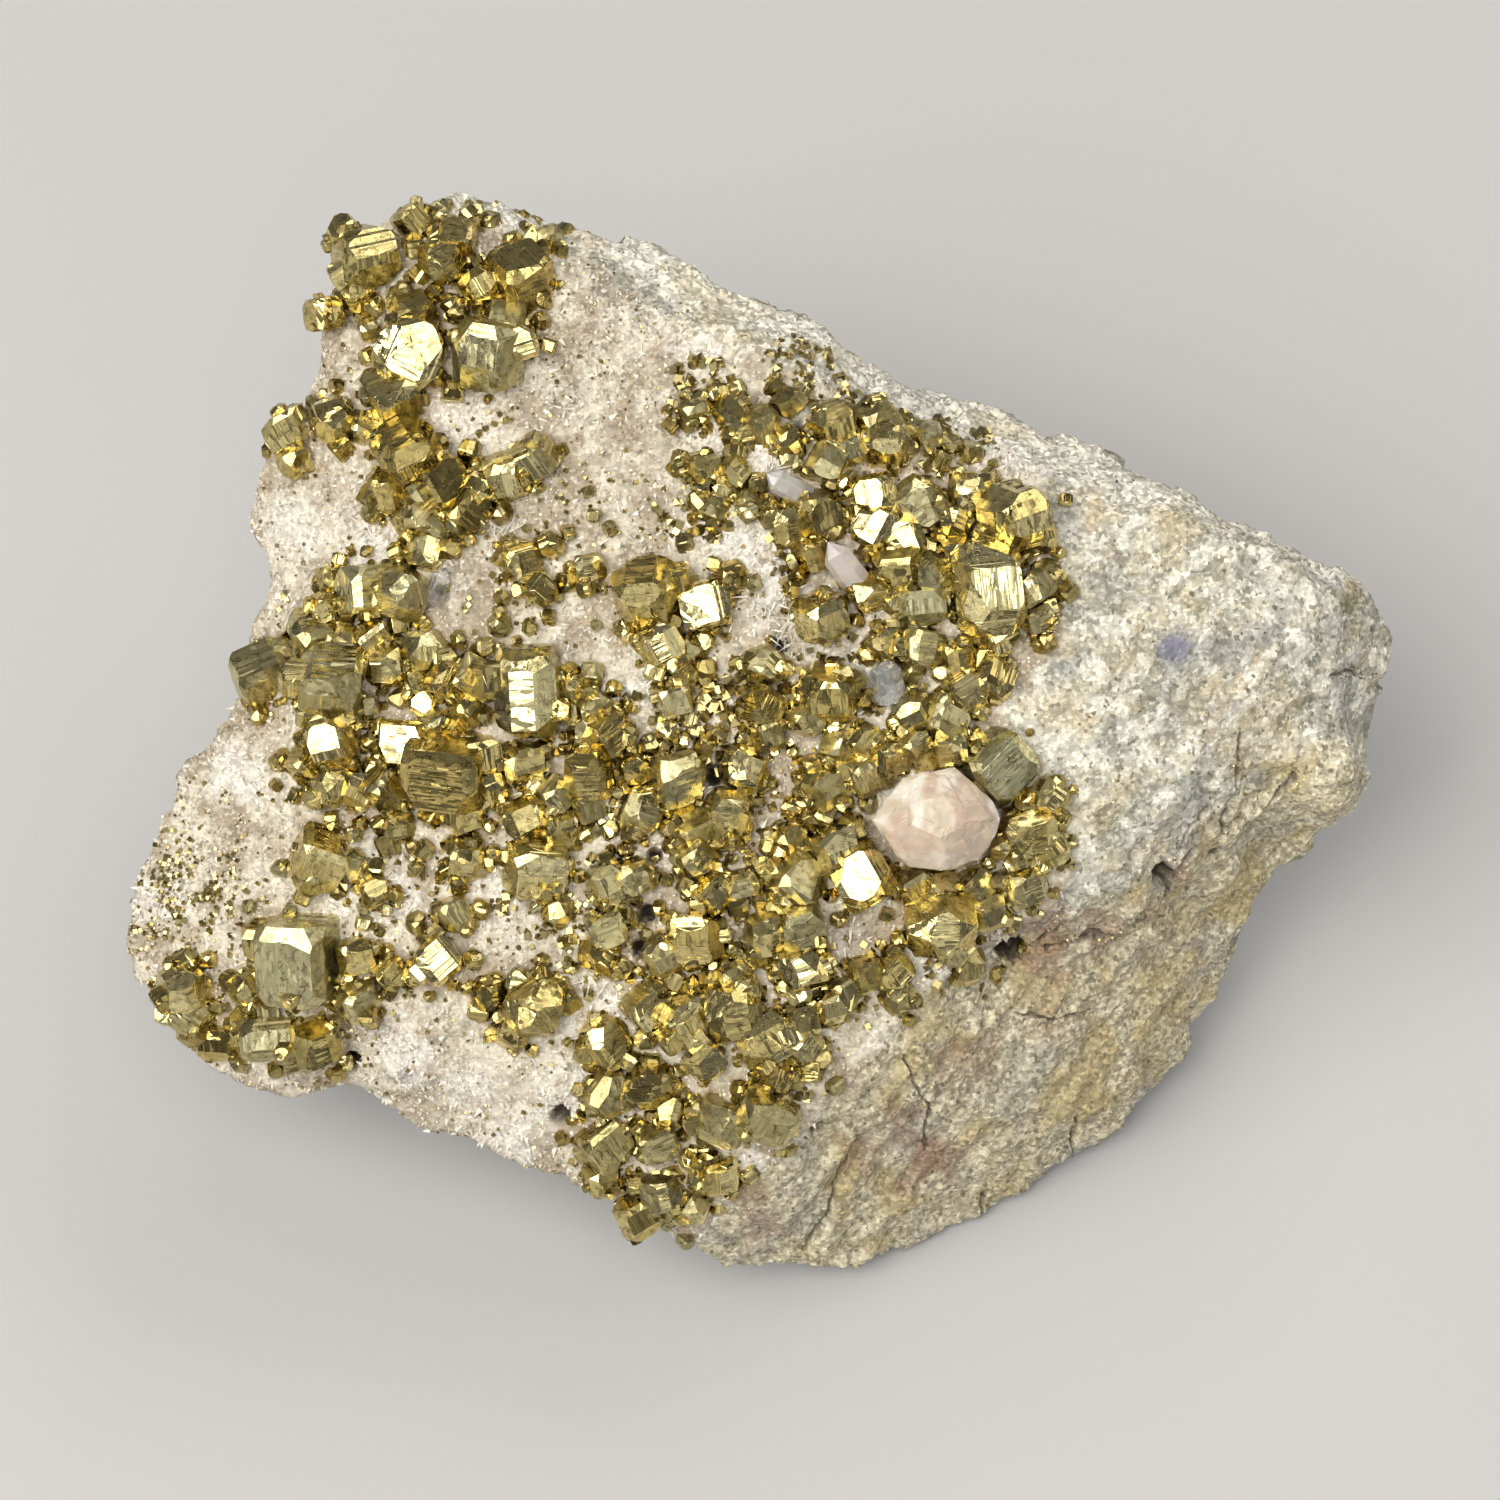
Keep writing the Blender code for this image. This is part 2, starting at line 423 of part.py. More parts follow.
def crystal_mesh(edge, habit, turn, plain):
    # A cube whose corners are cut by octahedron faces. The small ones stay plain cubes.
    stretch, corner_out = HABITS[habit]
    bm = bmesh.new()
    bmesh.ops.create_cube(bm, size=2)
    corners = [] if plain else [vert.co.copy() for vert in bm.verts]
    for corner in corners:
        cut_corner(bm, corner.normalized(), corner_out / corner.length)
    size = Vector(stretch) * edge / 2
    bmesh.ops.scale(bm, vec=size, verts=bm.verts)
    bmesh.ops.rotate(bm, matrix=SIGHT_AXES @ turn, verts=bm.verts)
    return bm


def surface_under(x, y, rock_tree):
    start = EYE
    towards = (sight_point(x, y) - EYE).normalized()
    hit, _, _, _ = rock_tree.ray_cast(start, towards)
    return hit if hit else sight_point(x, y, -5 * MM)


def make_crystal(x, y, width, habit, lean, swing, roll, rock_tree):
    edge = width * SIGHT_STEP * EDGE_OF_WIDTH
    bm = crystal_mesh(edge, habit, crystal_turn(lean, swing, roll), width < PLAIN_BELOW)
    place = surface_under(x, y, rock_tree) + SIGHT_OUT * edge * CRYSTAL_LIFT
    bmesh.ops.translate(bm, vec=place, verts=bm.verts)
    return bm


def make_calcite(rock_tree):
    bm = bmesh.new()
    ground = surface_under(*CALCITE_MIDDLE, rock_tree)
    middle_x, middle_y = CALCITE_MIDDLE
    base_depth = (ground - sight_point(*CALCITE_MIDDLE)).dot(SIGHT_OUT)
    for level, depth in CALCITE_DEPTHS.items():
        shrink = CALCITE_SHRINK[level]
        for x, y in CALCITE_OUTLINE:
            at_x = middle_x + (x - middle_x) * shrink
            at_y = middle_y + (y - middle_y) * shrink
            bm.verts.new(sight_point(at_x, at_y, base_depth + depth))
    hull = bmesh.ops.convex_hull(bm, input=bm.verts)
    bmesh.ops.delete(bm, geom=hull["geom_interior"], context="VERTS")
    bmesh.ops.recalc_face_normals(bm, faces=bm.faces)
    return bm


def make_quartz(x, y, length, width, lean, turn, rock_tree):
    # A six-sided prism that tapers to a point at its free end.
    radius = width * SIGHT_STEP / 2
    reach = length * SIGHT_STEP
    bm = bmesh.new()
    for i in range(6):
        angle = math.radians(60 * i + 12)
        side = Vector((math.cos(angle) * radius, 0, math.sin(angle) * radius * 0.8))
        bm.verts.new(side + Vector((0, -0.5 * reach, 0)))
        bm.verts.new(side * 0.94 + Vector((0, 0.28 * reach, 0)))
    bm.verts.new(Vector((0.1 * radius, 0.5 * reach, 0.1 * radius)))
    hull = bmesh.ops.convex_hull(bm, input=bm.verts)
    bmesh.ops.delete(bm, geom=hull["geom_interior"], context="VERTS")
    bmesh.ops.recalc_face_normals(bm, faces=bm.faces)
    spin = Matrix.Rotation(math.radians(turn), 3, "Z") @ Matrix.Rotation(math.radians(lean), 3, "X")
    bmesh.ops.rotate(bm, matrix=SIGHT_AXES @ spin, verts=bm.verts)
    place = surface_under(x, y, rock_tree) + SIGHT_OUT * radius * 0.75
    bmesh.ops.translate(bm, vec=place, verts=bm.verts)
    return bm


def swollen_copy(obj, grow):
    # A hidden helper that is the object's shape, grown outwards along its normals.
    bm = bmesh.new()
    bm.from_mesh(obj.data)
    bmesh.ops.triangulate(bm, faces=bm.faces)
    bm.normal_update()
    moved = [vert.co + vert.normal * grow * vert.calc_shell_factor() for vert in bm.verts]
    for vert, place in zip(bm.verts, moved):
        vert.co = place
    helper = add_object(obj.name + "_clearance", bm)
    helper.hide_render = True
    helper.display_type = "WIRE"
    return helper


def boolean_mesh(obj, other, operation):
    step = obj.modifiers.new(operation.lower(), "BOOLEAN")
    step.operation = operation
    step.solver = "EXACT"
    if isinstance(other, bpy.types.Collection):
        step.operand_type = "COLLECTION"
        step.collection = other
    else:
        step.object = other
    return mesh_from_modifiers(obj)


def loose_parts(bm):
    # The separate bodies in a mesh, each a new mesh. Bodies that meet in one point are separate.
    bm.faces.index_update()
    seen = set()
    for first in bm.faces:
        if first.index in seen:
            continue
        part = [first]
        seen.add(first.index)
        for face in part:
            for edge in face.edges:
                for near in edge.link_faces:
                    if near.index not in seen:
                        seen.add(near.index)
                        part.append(near)
        piece = bmesh.new()
        new_verts = {}
        for face in part:
            for vert in face.verts:
                if vert not in new_verts:
                    new_verts[vert] = piece.verts.new(vert.co)
            piece.faces.new([new_verts[vert] for vert in face.verts])
        yield piece


def largest_part(bm):
    parts = sorted(loose_parts(bm), key=lambda part: part.calc_volume())
    for part in parts[:-1]:
        part.free()
    bm.free()
    return parts[-1]


def tidy_mesh(bm):
    bmesh.ops.remove_doubles(bm, verts=bm.verts, dist=MERGE)
    bmesh.ops.triangulate(bm, faces=bm.faces)
    bmesh.ops.dissolve_degenerate(bm, edges=bm.edges, dist=SLIVER_STEPS[0])
    bmesh.ops.triangulate(bm, faces=bm.faces)


def clear_flaps(bm):
    # Two triangles on the same three points are a flap with no thickness, and both go.
    by_points = {}
    for face in bm.faces:
        by_points.setdefault(frozenset(face.verts), []).append(face)
    flaps = [face for faces in by_points.values() if len(faces) > 1 for face in faces]
    bmesh.ops.delete(bm, geom=flaps, context="FACES_ONLY")
    bmesh.ops.delete(bm, geom=[edge for edge in bm.edges if not edge.link_faces], context="EDGES")


def settled(bm):
    # The bodies of a mesh, largest first, at their place over the origin. The slivers that the cuts left
    # in them are cleared with the smallest reach that keeps the surface closed on the MERGE grid.
    for reach in SLIVER_STEPS:
        trial = bm.copy()
        bmesh.ops.translate(trial, vec=REST_SHIFT, verts=trial.verts)
        bmesh.ops.dissolve_degenerate(trial, edges=trial.edges, dist=reach)
        bmesh.ops.triangulate(trial, faces=trial.faces)
        for vert in trial.verts:
            vert.co = Vector([round(value / MERGE) * MERGE for value in vert.co])
        bmesh.ops.remove_doubles(trial, verts=trial.verts, dist=MERGE / 2)
        clear_flaps(trial)
        bodies = sorted(loose_parts(trial), key=lambda body: -body.calc_volume())
        trial.free()
        if all(len(edge.link_faces) == 2 for body in bodies for edge in body.edges):
            break
    bm.free()
    return bodies


def settle_object(obj):
    bm = bmesh.new()
    bm.from_mesh(obj.data)
    body = settled(bm)[0]
    body.to_mesh(obj.data)
    body.free()


def union_of(meshes, name):
    # One solid from many overlapping ones.
    objects = [add_object(f"{name}_{i}", bm) for i, bm in enumerate(meshes)]
    others = bpy.data.collections.new(name + "_parts")
    for obj in objects[1:]:
        others.objects.link(obj)
    joined = boolean_mesh(objects[0], others, "UNION")
    for obj in objects[1:]:
        bpy.data.objects.remove(obj, do_unlink=True)
    bpy.data.collections.remove(others)
    return joined


def group_of(place, crystal_places):
    nearest = min(crystal_places, key=lambda item: (item[1] - place).length)
    return nearest[0]


def main():
    clear_scene()
    rock = make_rock(make_material("rock", ROCK_COLOUR, 0.85))
    rock_mesh = bmesh.new()
    rock_mesh.from_mesh(rock.data)
    rock_tree = BVHTree.FromBMesh(rock_mesh)
    rock_mesh.free()
    rock_clearance = swollen_copy(rock, FIT_GAP)

    calcite_raw = add_object("calcite_raw", make_calcite(rock_tree))
    calcite_mesh = boolean_mesh(calcite_raw, rock_clearance, "DIFFERENCE")
    tidy_mesh(calcite_mesh)
    calcite_material = make_material("calcite", CALCITE_COLOUR, 0.3)
    calcite = add_object("calcite_crystal", largest_part(calcite_mesh), calcite_material)
    clearances = [swollen_copy(calcite, FIT_GAP)]

    quartz_material = make_material("quartz", QUARTZ_COLOUR, 0.15)
    quartz_crystals = []
    for name, numbers in QUARTZ_CRYSTALS.items():
        raw = add_object(name + "_raw", make_quartz(*numbers, rock_tree))
        mesh = boolean_mesh(raw, rock_clearance, "DIFFERENCE")
        tidy_mesh(mesh)
        quartz = add_object(name, largest_part(mesh), quartz_material)
        quartz_crystals.append(quartz)
        clearances.append(swollen_copy(quartz, FIT_GAP))

    crystal_places = []
    crystals = []
    for group, numbers in PYRITE_GROUPS.items():
        for crystal in numbers:
            bm = make_crystal(*crystal, rock_tree)
            middle = sum((v.co for v in bm.verts), Vector()) / len(bm.verts)
            crystal_places.append((group, middle))
            crystals.append(bm)
    crust = add_object("crust", union_of(crystals, "pyrite_raw"))
    for helper in [rock_clearance] + clearances:
        crust = add_object("crust", boolean_mesh(crust, helper, "DIFFERENCE"))
    crust_mesh = mesh_from_modifiers(crust)
    tidy_mesh(crust_mesh)

    pyrite_material = make_material("pyrite", PYRITE_COLOUR, 0.3, 1.0)
    bodies = [body for part in loose_parts(crust_mesh) for body in settled(part)]
    bodies.sort(key=lambda body: -body.calc_volume())
    counts = {}
    for bm in bodies:
        if bm.calc_volume() < SMALLEST_PIECE:
            bm.free()
            continue
        middle = sum((v.co for v in bm.verts), Vector()) / len(bm.verts)
        group = group_of(middle - Vector(REST_SHIFT), crystal_places)
        counts[group] = counts.get(group, 0) + 1
        add_object(f"{group}_{counts[group]}", bm, pyrite_material)

    bpy.data.objects.remove(rock_clearance, do_unlink=True)
    for helper in clearances:
        bpy.data.objects.remove(helper, do_unlink=True)
    for obj in [rock, calcite] + quartz_crystals:
        settle_object(obj)


main()
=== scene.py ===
import math
import random

import bmesh
import bpy
import numpy as np
from mathutils import Matrix, Vector, noise
from mathutils.bvhtree import BVHTree


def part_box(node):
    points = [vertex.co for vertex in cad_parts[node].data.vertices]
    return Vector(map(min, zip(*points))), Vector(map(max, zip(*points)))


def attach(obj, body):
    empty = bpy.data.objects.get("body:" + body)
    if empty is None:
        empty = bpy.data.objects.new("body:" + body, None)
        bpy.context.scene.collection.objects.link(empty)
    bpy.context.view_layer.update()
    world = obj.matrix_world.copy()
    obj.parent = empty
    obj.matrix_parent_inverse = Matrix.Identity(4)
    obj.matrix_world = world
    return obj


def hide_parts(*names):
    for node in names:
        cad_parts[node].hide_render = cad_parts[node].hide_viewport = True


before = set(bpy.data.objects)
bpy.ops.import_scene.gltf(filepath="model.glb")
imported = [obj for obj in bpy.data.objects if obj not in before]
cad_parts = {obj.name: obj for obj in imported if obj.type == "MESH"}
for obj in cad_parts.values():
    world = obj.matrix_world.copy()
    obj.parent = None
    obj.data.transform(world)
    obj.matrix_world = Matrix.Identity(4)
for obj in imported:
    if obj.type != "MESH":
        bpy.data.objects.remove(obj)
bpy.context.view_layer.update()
mm = 0.001

# Places on the crystal side are given in steps on a sight plane: x to the right, y down, as seen squarely.
sight = {
    "step": 73.4 * mm / 1285,
    "middle": 750,
    "tilt": math.radians(60),
    "distance": 240 * mm,
    "origin": Vector((-0.68 * mm, -4.8 * mm, 28.9 * mm)),
    "lens": 100.8,
}
sightRight = Vector((1, 0, 0))
sightUp = Vector((0, math.sin(sight["tilt"]), math.cos(sight["tilt"])))
sightOut = Vector((0, -math.cos(sight["tilt"]), math.sin(sight["tilt"])))
sightAxes = Matrix((sightRight, sightUp, sightOut)).transposed()
eye = sight["origin"] + sightOut * sight["distance"]


def sightPoint(x, y, depth=0.0):
    # The point seen at these steps, so far in front of the sight plane.
    across = (x - sight["middle"]) * sight["step"]
    up = (sight["middle"] - y) * sight["step"]
    point = sight["origin"] + sightRight * across + sightUp * up
    return point.lerp(eye, depth / sight["distance"])


def stepsOf(points):
    # The steps (x, y) at which points of the row frame are seen.
    away = np.asarray(points) - np.array(sight["origin"])
    out = away @ np.array(sightOut)
    scale = sight["distance"] / (sight["distance"] - out) / sight["step"]
    x = sight["middle"] + (away @ np.array(sightRight)) * scale
    y = sight["middle"] - (away @ np.array(sightUp)) * scale
    return np.stack([x, y], axis=1)


def lineDistance(points, line):
    # How far each point is from a line through the places given.
    best = np.full(len(points), np.inf)
    for first, second in zip(line, line[1:]):
        a = np.array(first, float)
        side = np.array(second, float) - a
        along = np.clip((points - a) @ side / (side @ side), 0, 1)
        best = np.minimum(best, np.linalg.norm(points - a - along[:, None] * side, axis=1))
    return best


def insideDistance(points, outline):
    # How far inside the outline each point is, in steps; negative outside.
    inside = np.zeros(len(points), bool)
    closed = outline + outline[:1]
    for (x0, y0), (x1, y1) in zip(closed, closed[1:]):
        if y0 == y1:
            continue
        crosses = (y0 > points[:, 1]) != (y1 > points[:, 1])
        inside ^= crosses & (points[:, 0] < x0 + (points[:, 1] - y0) * (x1 - x0) / (y1 - y0))
    best = lineDistance(points, closed)
    return np.where(inside, best, -best)


def softStep(value, low, high):
    # A smooth rise from 0 at the low end to 1 at the high end.
    t = np.clip((value - low) / (high - low), 0, 1)
    return t * t * (3 - 2 * t)


def noiseAt(points, size, seed):
    shift = Vector((seed, 2 * seed, 3 * seed))
    return np.array([noise.noise(Vector(p) / size + shift) for p in points])


def chipsAt(points, size, seed):
    # Tilted flats with small steps between them, one for each cell of the noise.
    shift = Vector((seed, seed, seed))
    heights = []
    for p in points:
        at = Vector(p) / size + shift
        cell = noise.voronoi(at)[1][0]
        tilt = Vector([noise.noise(cell * 5.3 + Vector((apart, 0, 0))) for apart in (0, 17.3, 34.6)])
        heights.append((at - cell).dot(tilt) * 2.2 + tilt.x * 0.35)
    return np.array(heights)


def cellsAt(points, size, seed):
    # A number from 0 to 1 for each cell of the noise.
    shift = Vector((seed, seed, seed))
    cells = [noise.voronoi(Vector(p) / size + shift)[1][0] for p in points]
    return np.array([(cell.x * 12.9 + cell.y * 78.2 + cell.z * 37.7) % 1.0 for cell in cells])


def grainsAt(points, size, seed):
    # Rounded humps side by side, as on a crust of small crystals.
    shift = Vector((seed, seed, seed))
    return np.array([0.5 - noise.voronoi(Vector(p) / size + shift)[0][0] for p in points])


# Helpers for the materials.
def feed(tree, node, inputs):
    # Each input takes a link from a socket or a constant.
    for name, value in inputs.items():
        if isinstance(value, bpy.types.NodeSocket):
            tree.links.new(value, node.inputs[name])
        else:
            node.inputs[name].default_value = value
    return node


def addNode(tree, kind, inputs=None, **settings):
    node = tree.nodes.new(kind)
    for name, value in settings.items():
        setattr(node, name, value)
    return feed(tree, node, inputs or {})


def mixColour(tree, factor, first, second, blend="MIX"):
    # Sockets 0, 6 and 7 are the factor and the two colours, and output 2 is the mixed colour.
    inputs = {0: factor, 6: first, 7: second}
    return addNode(tree, "ShaderNodeMix", inputs, data_type="RGBA", blend_type=blend).outputs[2]


def maths(tree, operation, first, second):
    return addNode(tree, "ShaderNodeMath", {0: first, 1: second}, operation=operation).outputs[0]


def tinted(tree, colour, mask, share, other):
    # The colour with a share of another one where the mask is white.
    return mixColour(tree, maths(tree, "MULTIPLY", mask, share), colour, other)


def ranged(tree, value, low, high, toLow=0.0, toHigh=1.0):
    inputs = {"Value": value, "From Min": low, "From Max": high, "To Min": toLow, "To Max": toHigh}
    return addNode(tree, "ShaderNodeMapRange", inputs, interpolation_type="SMOOTHSTEP").outputs["Result"]


def shaded(tree, colour, tone, low, high):
    # The colour made darker or lighter by a tone.
    return mixColour(tree, 1.0, colour, ranged(tree, tone, 0.0, 1.0, low, high), "MULTIPLY")


def objectPlace(tree):
    return addNode(tree, "ShaderNodeTexCoord").outputs["Object"]


def noiseOf(tree, at, scale, detail, roughness=0.6):
    inputs = {"Vector": at, "Scale": scale, "Detail": detail, "Roughness": roughness}
    return addNode(tree, "ShaderNodeTexNoise", inputs).outputs["Fac"]


def attributeOf(tree, name, output="Fac"):
    return addNode(tree, "ShaderNodeAttribute", attribute_name=name).outputs[output]


def newGroup(name, inputs, outputs):
    group = bpy.data.node_groups.new(name, "ShaderNodeTree")
    for label, kind, value in inputs:
        socket = group.interface.new_socket(label, in_out="INPUT", socket_type=kind)
        if value is not None:
            socket.default_value = value
    for label, kind in outputs:
        group.interface.new_socket(label, in_out="OUTPUT", socket_type=kind)
    start = group.nodes.new("NodeGroupInput")
    end = group.nodes.new("NodeGroupOutput")
    return group, start.outputs, end.inputs


def useGroup(tree, group, inputs):
    node = tree.nodes.new("ShaderNodeGroup")
    node.node_tree = group
    return feed(tree, node, inputs)


def makeChips():
    # Flat chips side by side, each tilted its own way: a height, a tone and a gloss for each.
    group, given, result = newGroup(
        "chips",
        [("Vector", "NodeSocketVector", None), ("Scale", "NodeSocketFloat", 1.0)],
        [("Height", "NodeSocketFloat"), ("Tone", "NodeSocketFloat"), ("Gloss", "NodeSocketFloat")],
    )
    places = {0: given["Vector"], "Scale": given["Scale"]}
    scaled = addNode(group, "ShaderNodeVectorMath", places, operation="SCALE")
    at = scaled.outputs["Vector"]
    cells = addNode(group, "ShaderNodeTexVoronoi", {"Vector": at, "Scale": 1.0})
    vectors = "ShaderNodeVectorMath"
    away = addNode(group, vectors, {0: at, 1: cells.outputs["Position"]}, operation="SUBTRACT")
    level = (0.5, 0.5, 0.5)
    tilt = addNode(group, vectors, {0: cells.outputs["Color"], 1: level}, operation="SUBTRACT")
    slopes = {0: away.outputs["Vector"], 1: tilt.outputs["Vector"]}
    height = addNode(group, vectors, slopes, operation="DOT_PRODUCT")
    split = addNode(group, "ShaderNodeSeparateColor", {"Color": cells.outputs["Color"]})
    group.links.new(height.outputs["Value"], result["Height"])
    group.links.new(split.outputs[1], result["Tone"])
    group.links.new(split.outputs[2], result["Gloss"])
    return group


chips = makeChips()


def newMaterial(name):
    material = bpy.data.materials.new(name)
    material.use_nodes = True
    tree = material.node_tree
    return material, tree, tree.nodes["Principled BSDF"]


def bumpInto(tree, shader, height, strength, distance):
    bump = addNode(tree, "ShaderNodeBump", {"Height": height, "Strength": strength, "Distance": distance})
    tree.links.new(bump.outputs["Normal"], shader.inputs["Normal"])


def rockMaterial():
    look = {
        "grey": (0.40, 0.385, 0.30, 1), "cream": (0.66, 0.60, 0.44, 1), "white": (0.92, 0.885, 0.745, 1),
        "tan": (0.57, 0.45, 0.28, 1), "blueGrey": (0.36, 0.36, 0.335, 1), "ochre": (0.54, 0.42, 0.19, 1),
        # The near-black colour on the next line is painted shade for pits and cracks.
        # The rust colour on the next line also paints shade on a ledge of the lower side.
        "rustAndLedgeShade": (0.35, 0.19, 0.13, 1), "pitShade": (0.07, 0.055, 0.04, 1), "speck": (0.20, 0.175, 0.12, 1),
        "violet": (0.235, 0.23, 0.29, 1), "olive": (0.27, 0.245, 0.13, 1),
        "shade": (0.465, 0.405, 0.25, 1), "shadePale": (0.88, 0.785, 0.53, 1),
        "druseBeige": (0.485, 0.395, 0.275, 1), "druseWhite": (0.79, 0.72, 0.565, 1),
        "drusePale": (0.93, 0.87, 0.76, 1),
    }
    material, tree, shader = newMaterial("rockSkin")
    at = objectPlace(tree)
    mottle = attributeOf(tree, "mottle")
    bits = attributeOf(tree, "bits")
    fine = noiseOf(tree, at, 2200.0, 2.0, 0.65)
    grain = useGroup(tree, chips, {"Vector": at, "Scale": 4300.0})
    flecks = ranged(tree, fine, 0.50, 0.60)
    specks = ranged(tree, grain.outputs["Tone"], 0.93, 0.95)
    stone = mixColour(tree, ranged(tree, mottle, 0.36, 0.60), look["grey"], look["cream"])
    stone = tinted(tree, stone, ranged(tree, mottle, 0.62, 0.74), 0.6, look["tan"])
    stone = tinted(tree, stone, ranged(tree, bits, 0.62, 0.68), 0.75, look["white"])
    stone = tinted(tree, stone, ranged(tree, bits, 0.26, 0.20), 0.75, look["grey"])
    stone = tinted(tree, stone, flecks, 0.5, look["white"])
    side = mixColour(tree, ranged(tree, fine, 0.38, 0.64), look["shade"], look["shadePale"])
    stone = tinted(tree, stone, attributeOf(tree, "shade"), 0.8, side)
    # The pale mask holds real whitish spots and the painted light on the top strip.
    stone = tinted(tree, stone, attributeOf(tree, "pale"), 0.8, look["white"])
    # Stains; the rust stain also holds painted shade on a ledge of the lower side.
    stains = {"cool": "blueGrey", "ochre": "ochre", "rustAndLedgeShade": "rustAndLedgeShade", "violet": "violet", "olive": "olive"}
    for stain, colour in stains.items():
        stone = mixColour(tree, attributeOf(tree, stain), stone, look[colour])
    stone = tinted(tree, stone, specks, 0.85, look["speck"])
    stone = shaded(tree, stone, grain.outputs["Tone"], 0.68, 1.18)

    crust = mixColour(tree, ranged(tree, mottle, 0.34, 0.66), look["druseBeige"], look["druseWhite"])
    # Here too the pale mask brings the painted light on the top strip.
    crust = mixColour(tree, attributeOf(tree, "pale"), crust, look["drusePale"])
    crust = tinted(tree, crust, attributeOf(tree, "cool"), 0.6, look["blueGrey"])
    dust = maths(tree, "MULTIPLY", ranged(tree, fine, 0.45, 0.37), attributeOf(tree, "dust"))
    crust = tinted(tree, crust, dust, 0.8, look["speck"])
    crust = shaded(tree, crust, grain.outputs["Tone"], 0.72, 1.08)
    colour = mixColour(tree, attributeOf(tree, "druse"), stone, crust)
    # Painted shade: near-black in the pits and cracks.
    colour = mixColour(tree, attributeOf(tree, "pitShade"), colour, look["pitShade"])
    tree.links.new(colour, shader.inputs["Base Color"])
    tree.links.new(ranged(tree, grain.outputs["Gloss"], 0.0, 1.0, 0.34, 0.85), shader.inputs["Roughness"])
    bumpInto(tree, shader, grain.outputs["Height"], 1.0, 0.21 * mm)
    return material


def druseMaterial():
    look = {"beige": (0.485, 0.395, 0.275, 1), "pale": (0.92, 0.87, 0.75, 1)}
    material, tree, shader = newMaterial("druseQuartz")
    colour = mixColour(tree, attributeOf(tree, "tone"), look["beige"], look["pale"])
    tree.links.new(colour, shader.inputs["Base Color"])
    shader.inputs["Roughness"].default_value = 0.2
    shader.inputs["IOR"].default_value = 1.55
    return material


def pyriteMaterial():
    look = {
        "bright": (0.86, 0.74, 0.37, 1), "brass": (0.67, 0.535, 0.20, 1), "tarnish": (0.37, 0.285, 0.10, 1),
        "seam": (0.06, 0.045, 0.015, 1), "patina": (0.49, 0.47, 0.29, 1),
    }
    material, tree, shader = newMaterial("pyriteBrass")
    grainAt = attributeOf(tree, "grainAt", "Vector")
    tone = attributeOf(tree, "tone")
    at = objectPlace(tree)
    colour = mixColour(tree, ranged(tree, tone, 0.0, 0.55), look["tarnish"], look["brass"])
    colour = mixColour(tree, ranged(tree, tone, 0.5, 1.0), colour, look["bright"])
    colour = mixColour(tree, attributeOf(tree, "patina"), colour, look["patina"])
    patches = noiseOf(tree, at, 1900.0, 2.0)
    colour = tinted(tree, colour, ranged(tree, patches, 0.54, 0.62), 0.45, look["tarnish"])
    steps = useGroup(tree, chips, {"Vector": grainAt, "Scale": 1.0})
    colour = shaded(tree, colour, steps.outputs["Tone"], 0.70, 1.08)
    cellSize = {"Vector": at, "Scale": 1500.0}
    cells = addNode(tree, "ShaderNodeTexVoronoi", cellSize, feature="DISTANCE_TO_EDGE")
    seams = ranged(tree, cells.outputs["Distance"], 0.0, 0.05, 1.0, 0.0)
    seams = maths(tree, "MULTIPLY", seams, ranged(tree, patches, 0.50, 0.56))
    colour = tinted(tree, colour, seams, 0.75, look["seam"])
    tree.links.new(colour, shader.inputs["Base Color"])
    shader.inputs["Metallic"].default_value = 1.0
    tree.links.new(attributeOf(tree, "rough"), shader.inputs["Roughness"])
    height = maths(tree, "MULTIPLY", steps.outputs["Height"], attributeOf(tree, "hackle"))
    bumpInto(tree, shader, height, 1.0, 1.0 * mm)
    return material


def speckMaterial():
    look = {"dark": (0.27, 0.215, 0.09, 1), "light": (0.54, 0.45, 0.21, 1)}
    material, tree, shader = newMaterial("pyriteGrains")
    colour = mixColour(tree, attributeOf(tree, "tone"), look["dark"], look["light"])
    tree.links.new(colour, shader.inputs["Base Color"])
    shader.inputs["Metallic"].default_value = 1.0
    shader.inputs["Roughness"].default_value = 0.3
    return material


def calciteMaterial():
    look = {"milk": (0.63, 0.53, 0.395, 1), "frost": (0.82, 0.76, 0.66, 1), "blush": (0.59, 0.45, 0.345, 1),
            "glassy": (0.50, 0.41, 0.315, 1)}
    material, tree, shader = newMaterial("calciteMilky")
    at = objectPlace(tree)
    cloud = noiseOf(tree, at, 420.0, 3.0, 0.55)
    colour = mixColour(tree, ranged(tree, cloud, 0.36, 0.60), look["blush"], look["milk"])
    colour = mixColour(tree, attributeOf(tree, "clear"), colour, look["glassy"])
    colour = mixColour(tree, attributeOf(tree, "frost"), colour, look["frost"])
    tree.links.new(colour, shader.inputs["Base Color"])
    tree.links.new(ranged(tree, cloud, 0.42, 0.60, 0.10, 0.38), shader.inputs["Roughness"])
    shader.inputs["IOR"].default_value = 1.55
    shader.inputs["Subsurface Weight"].default_value = 0.8
    shader.inputs["Subsurface Radius"].default_value = (1.0, 0.6, 0.45)
    shader.inputs["Subsurface Scale"].default_value = 0.6 * mm
    skin = useGroup(tree, chips, {"Vector": at, "Scale": 1500.0})
    flats = maths(tree, "MULTIPLY", skin.outputs["Height"], 0.035)
    relief = maths(tree, "ADD", flats, maths(tree, "MULTIPLY", cloud, 0.2))
    bumpInto(tree, shader, relief, 1.0, 1.0 * mm)
    return material


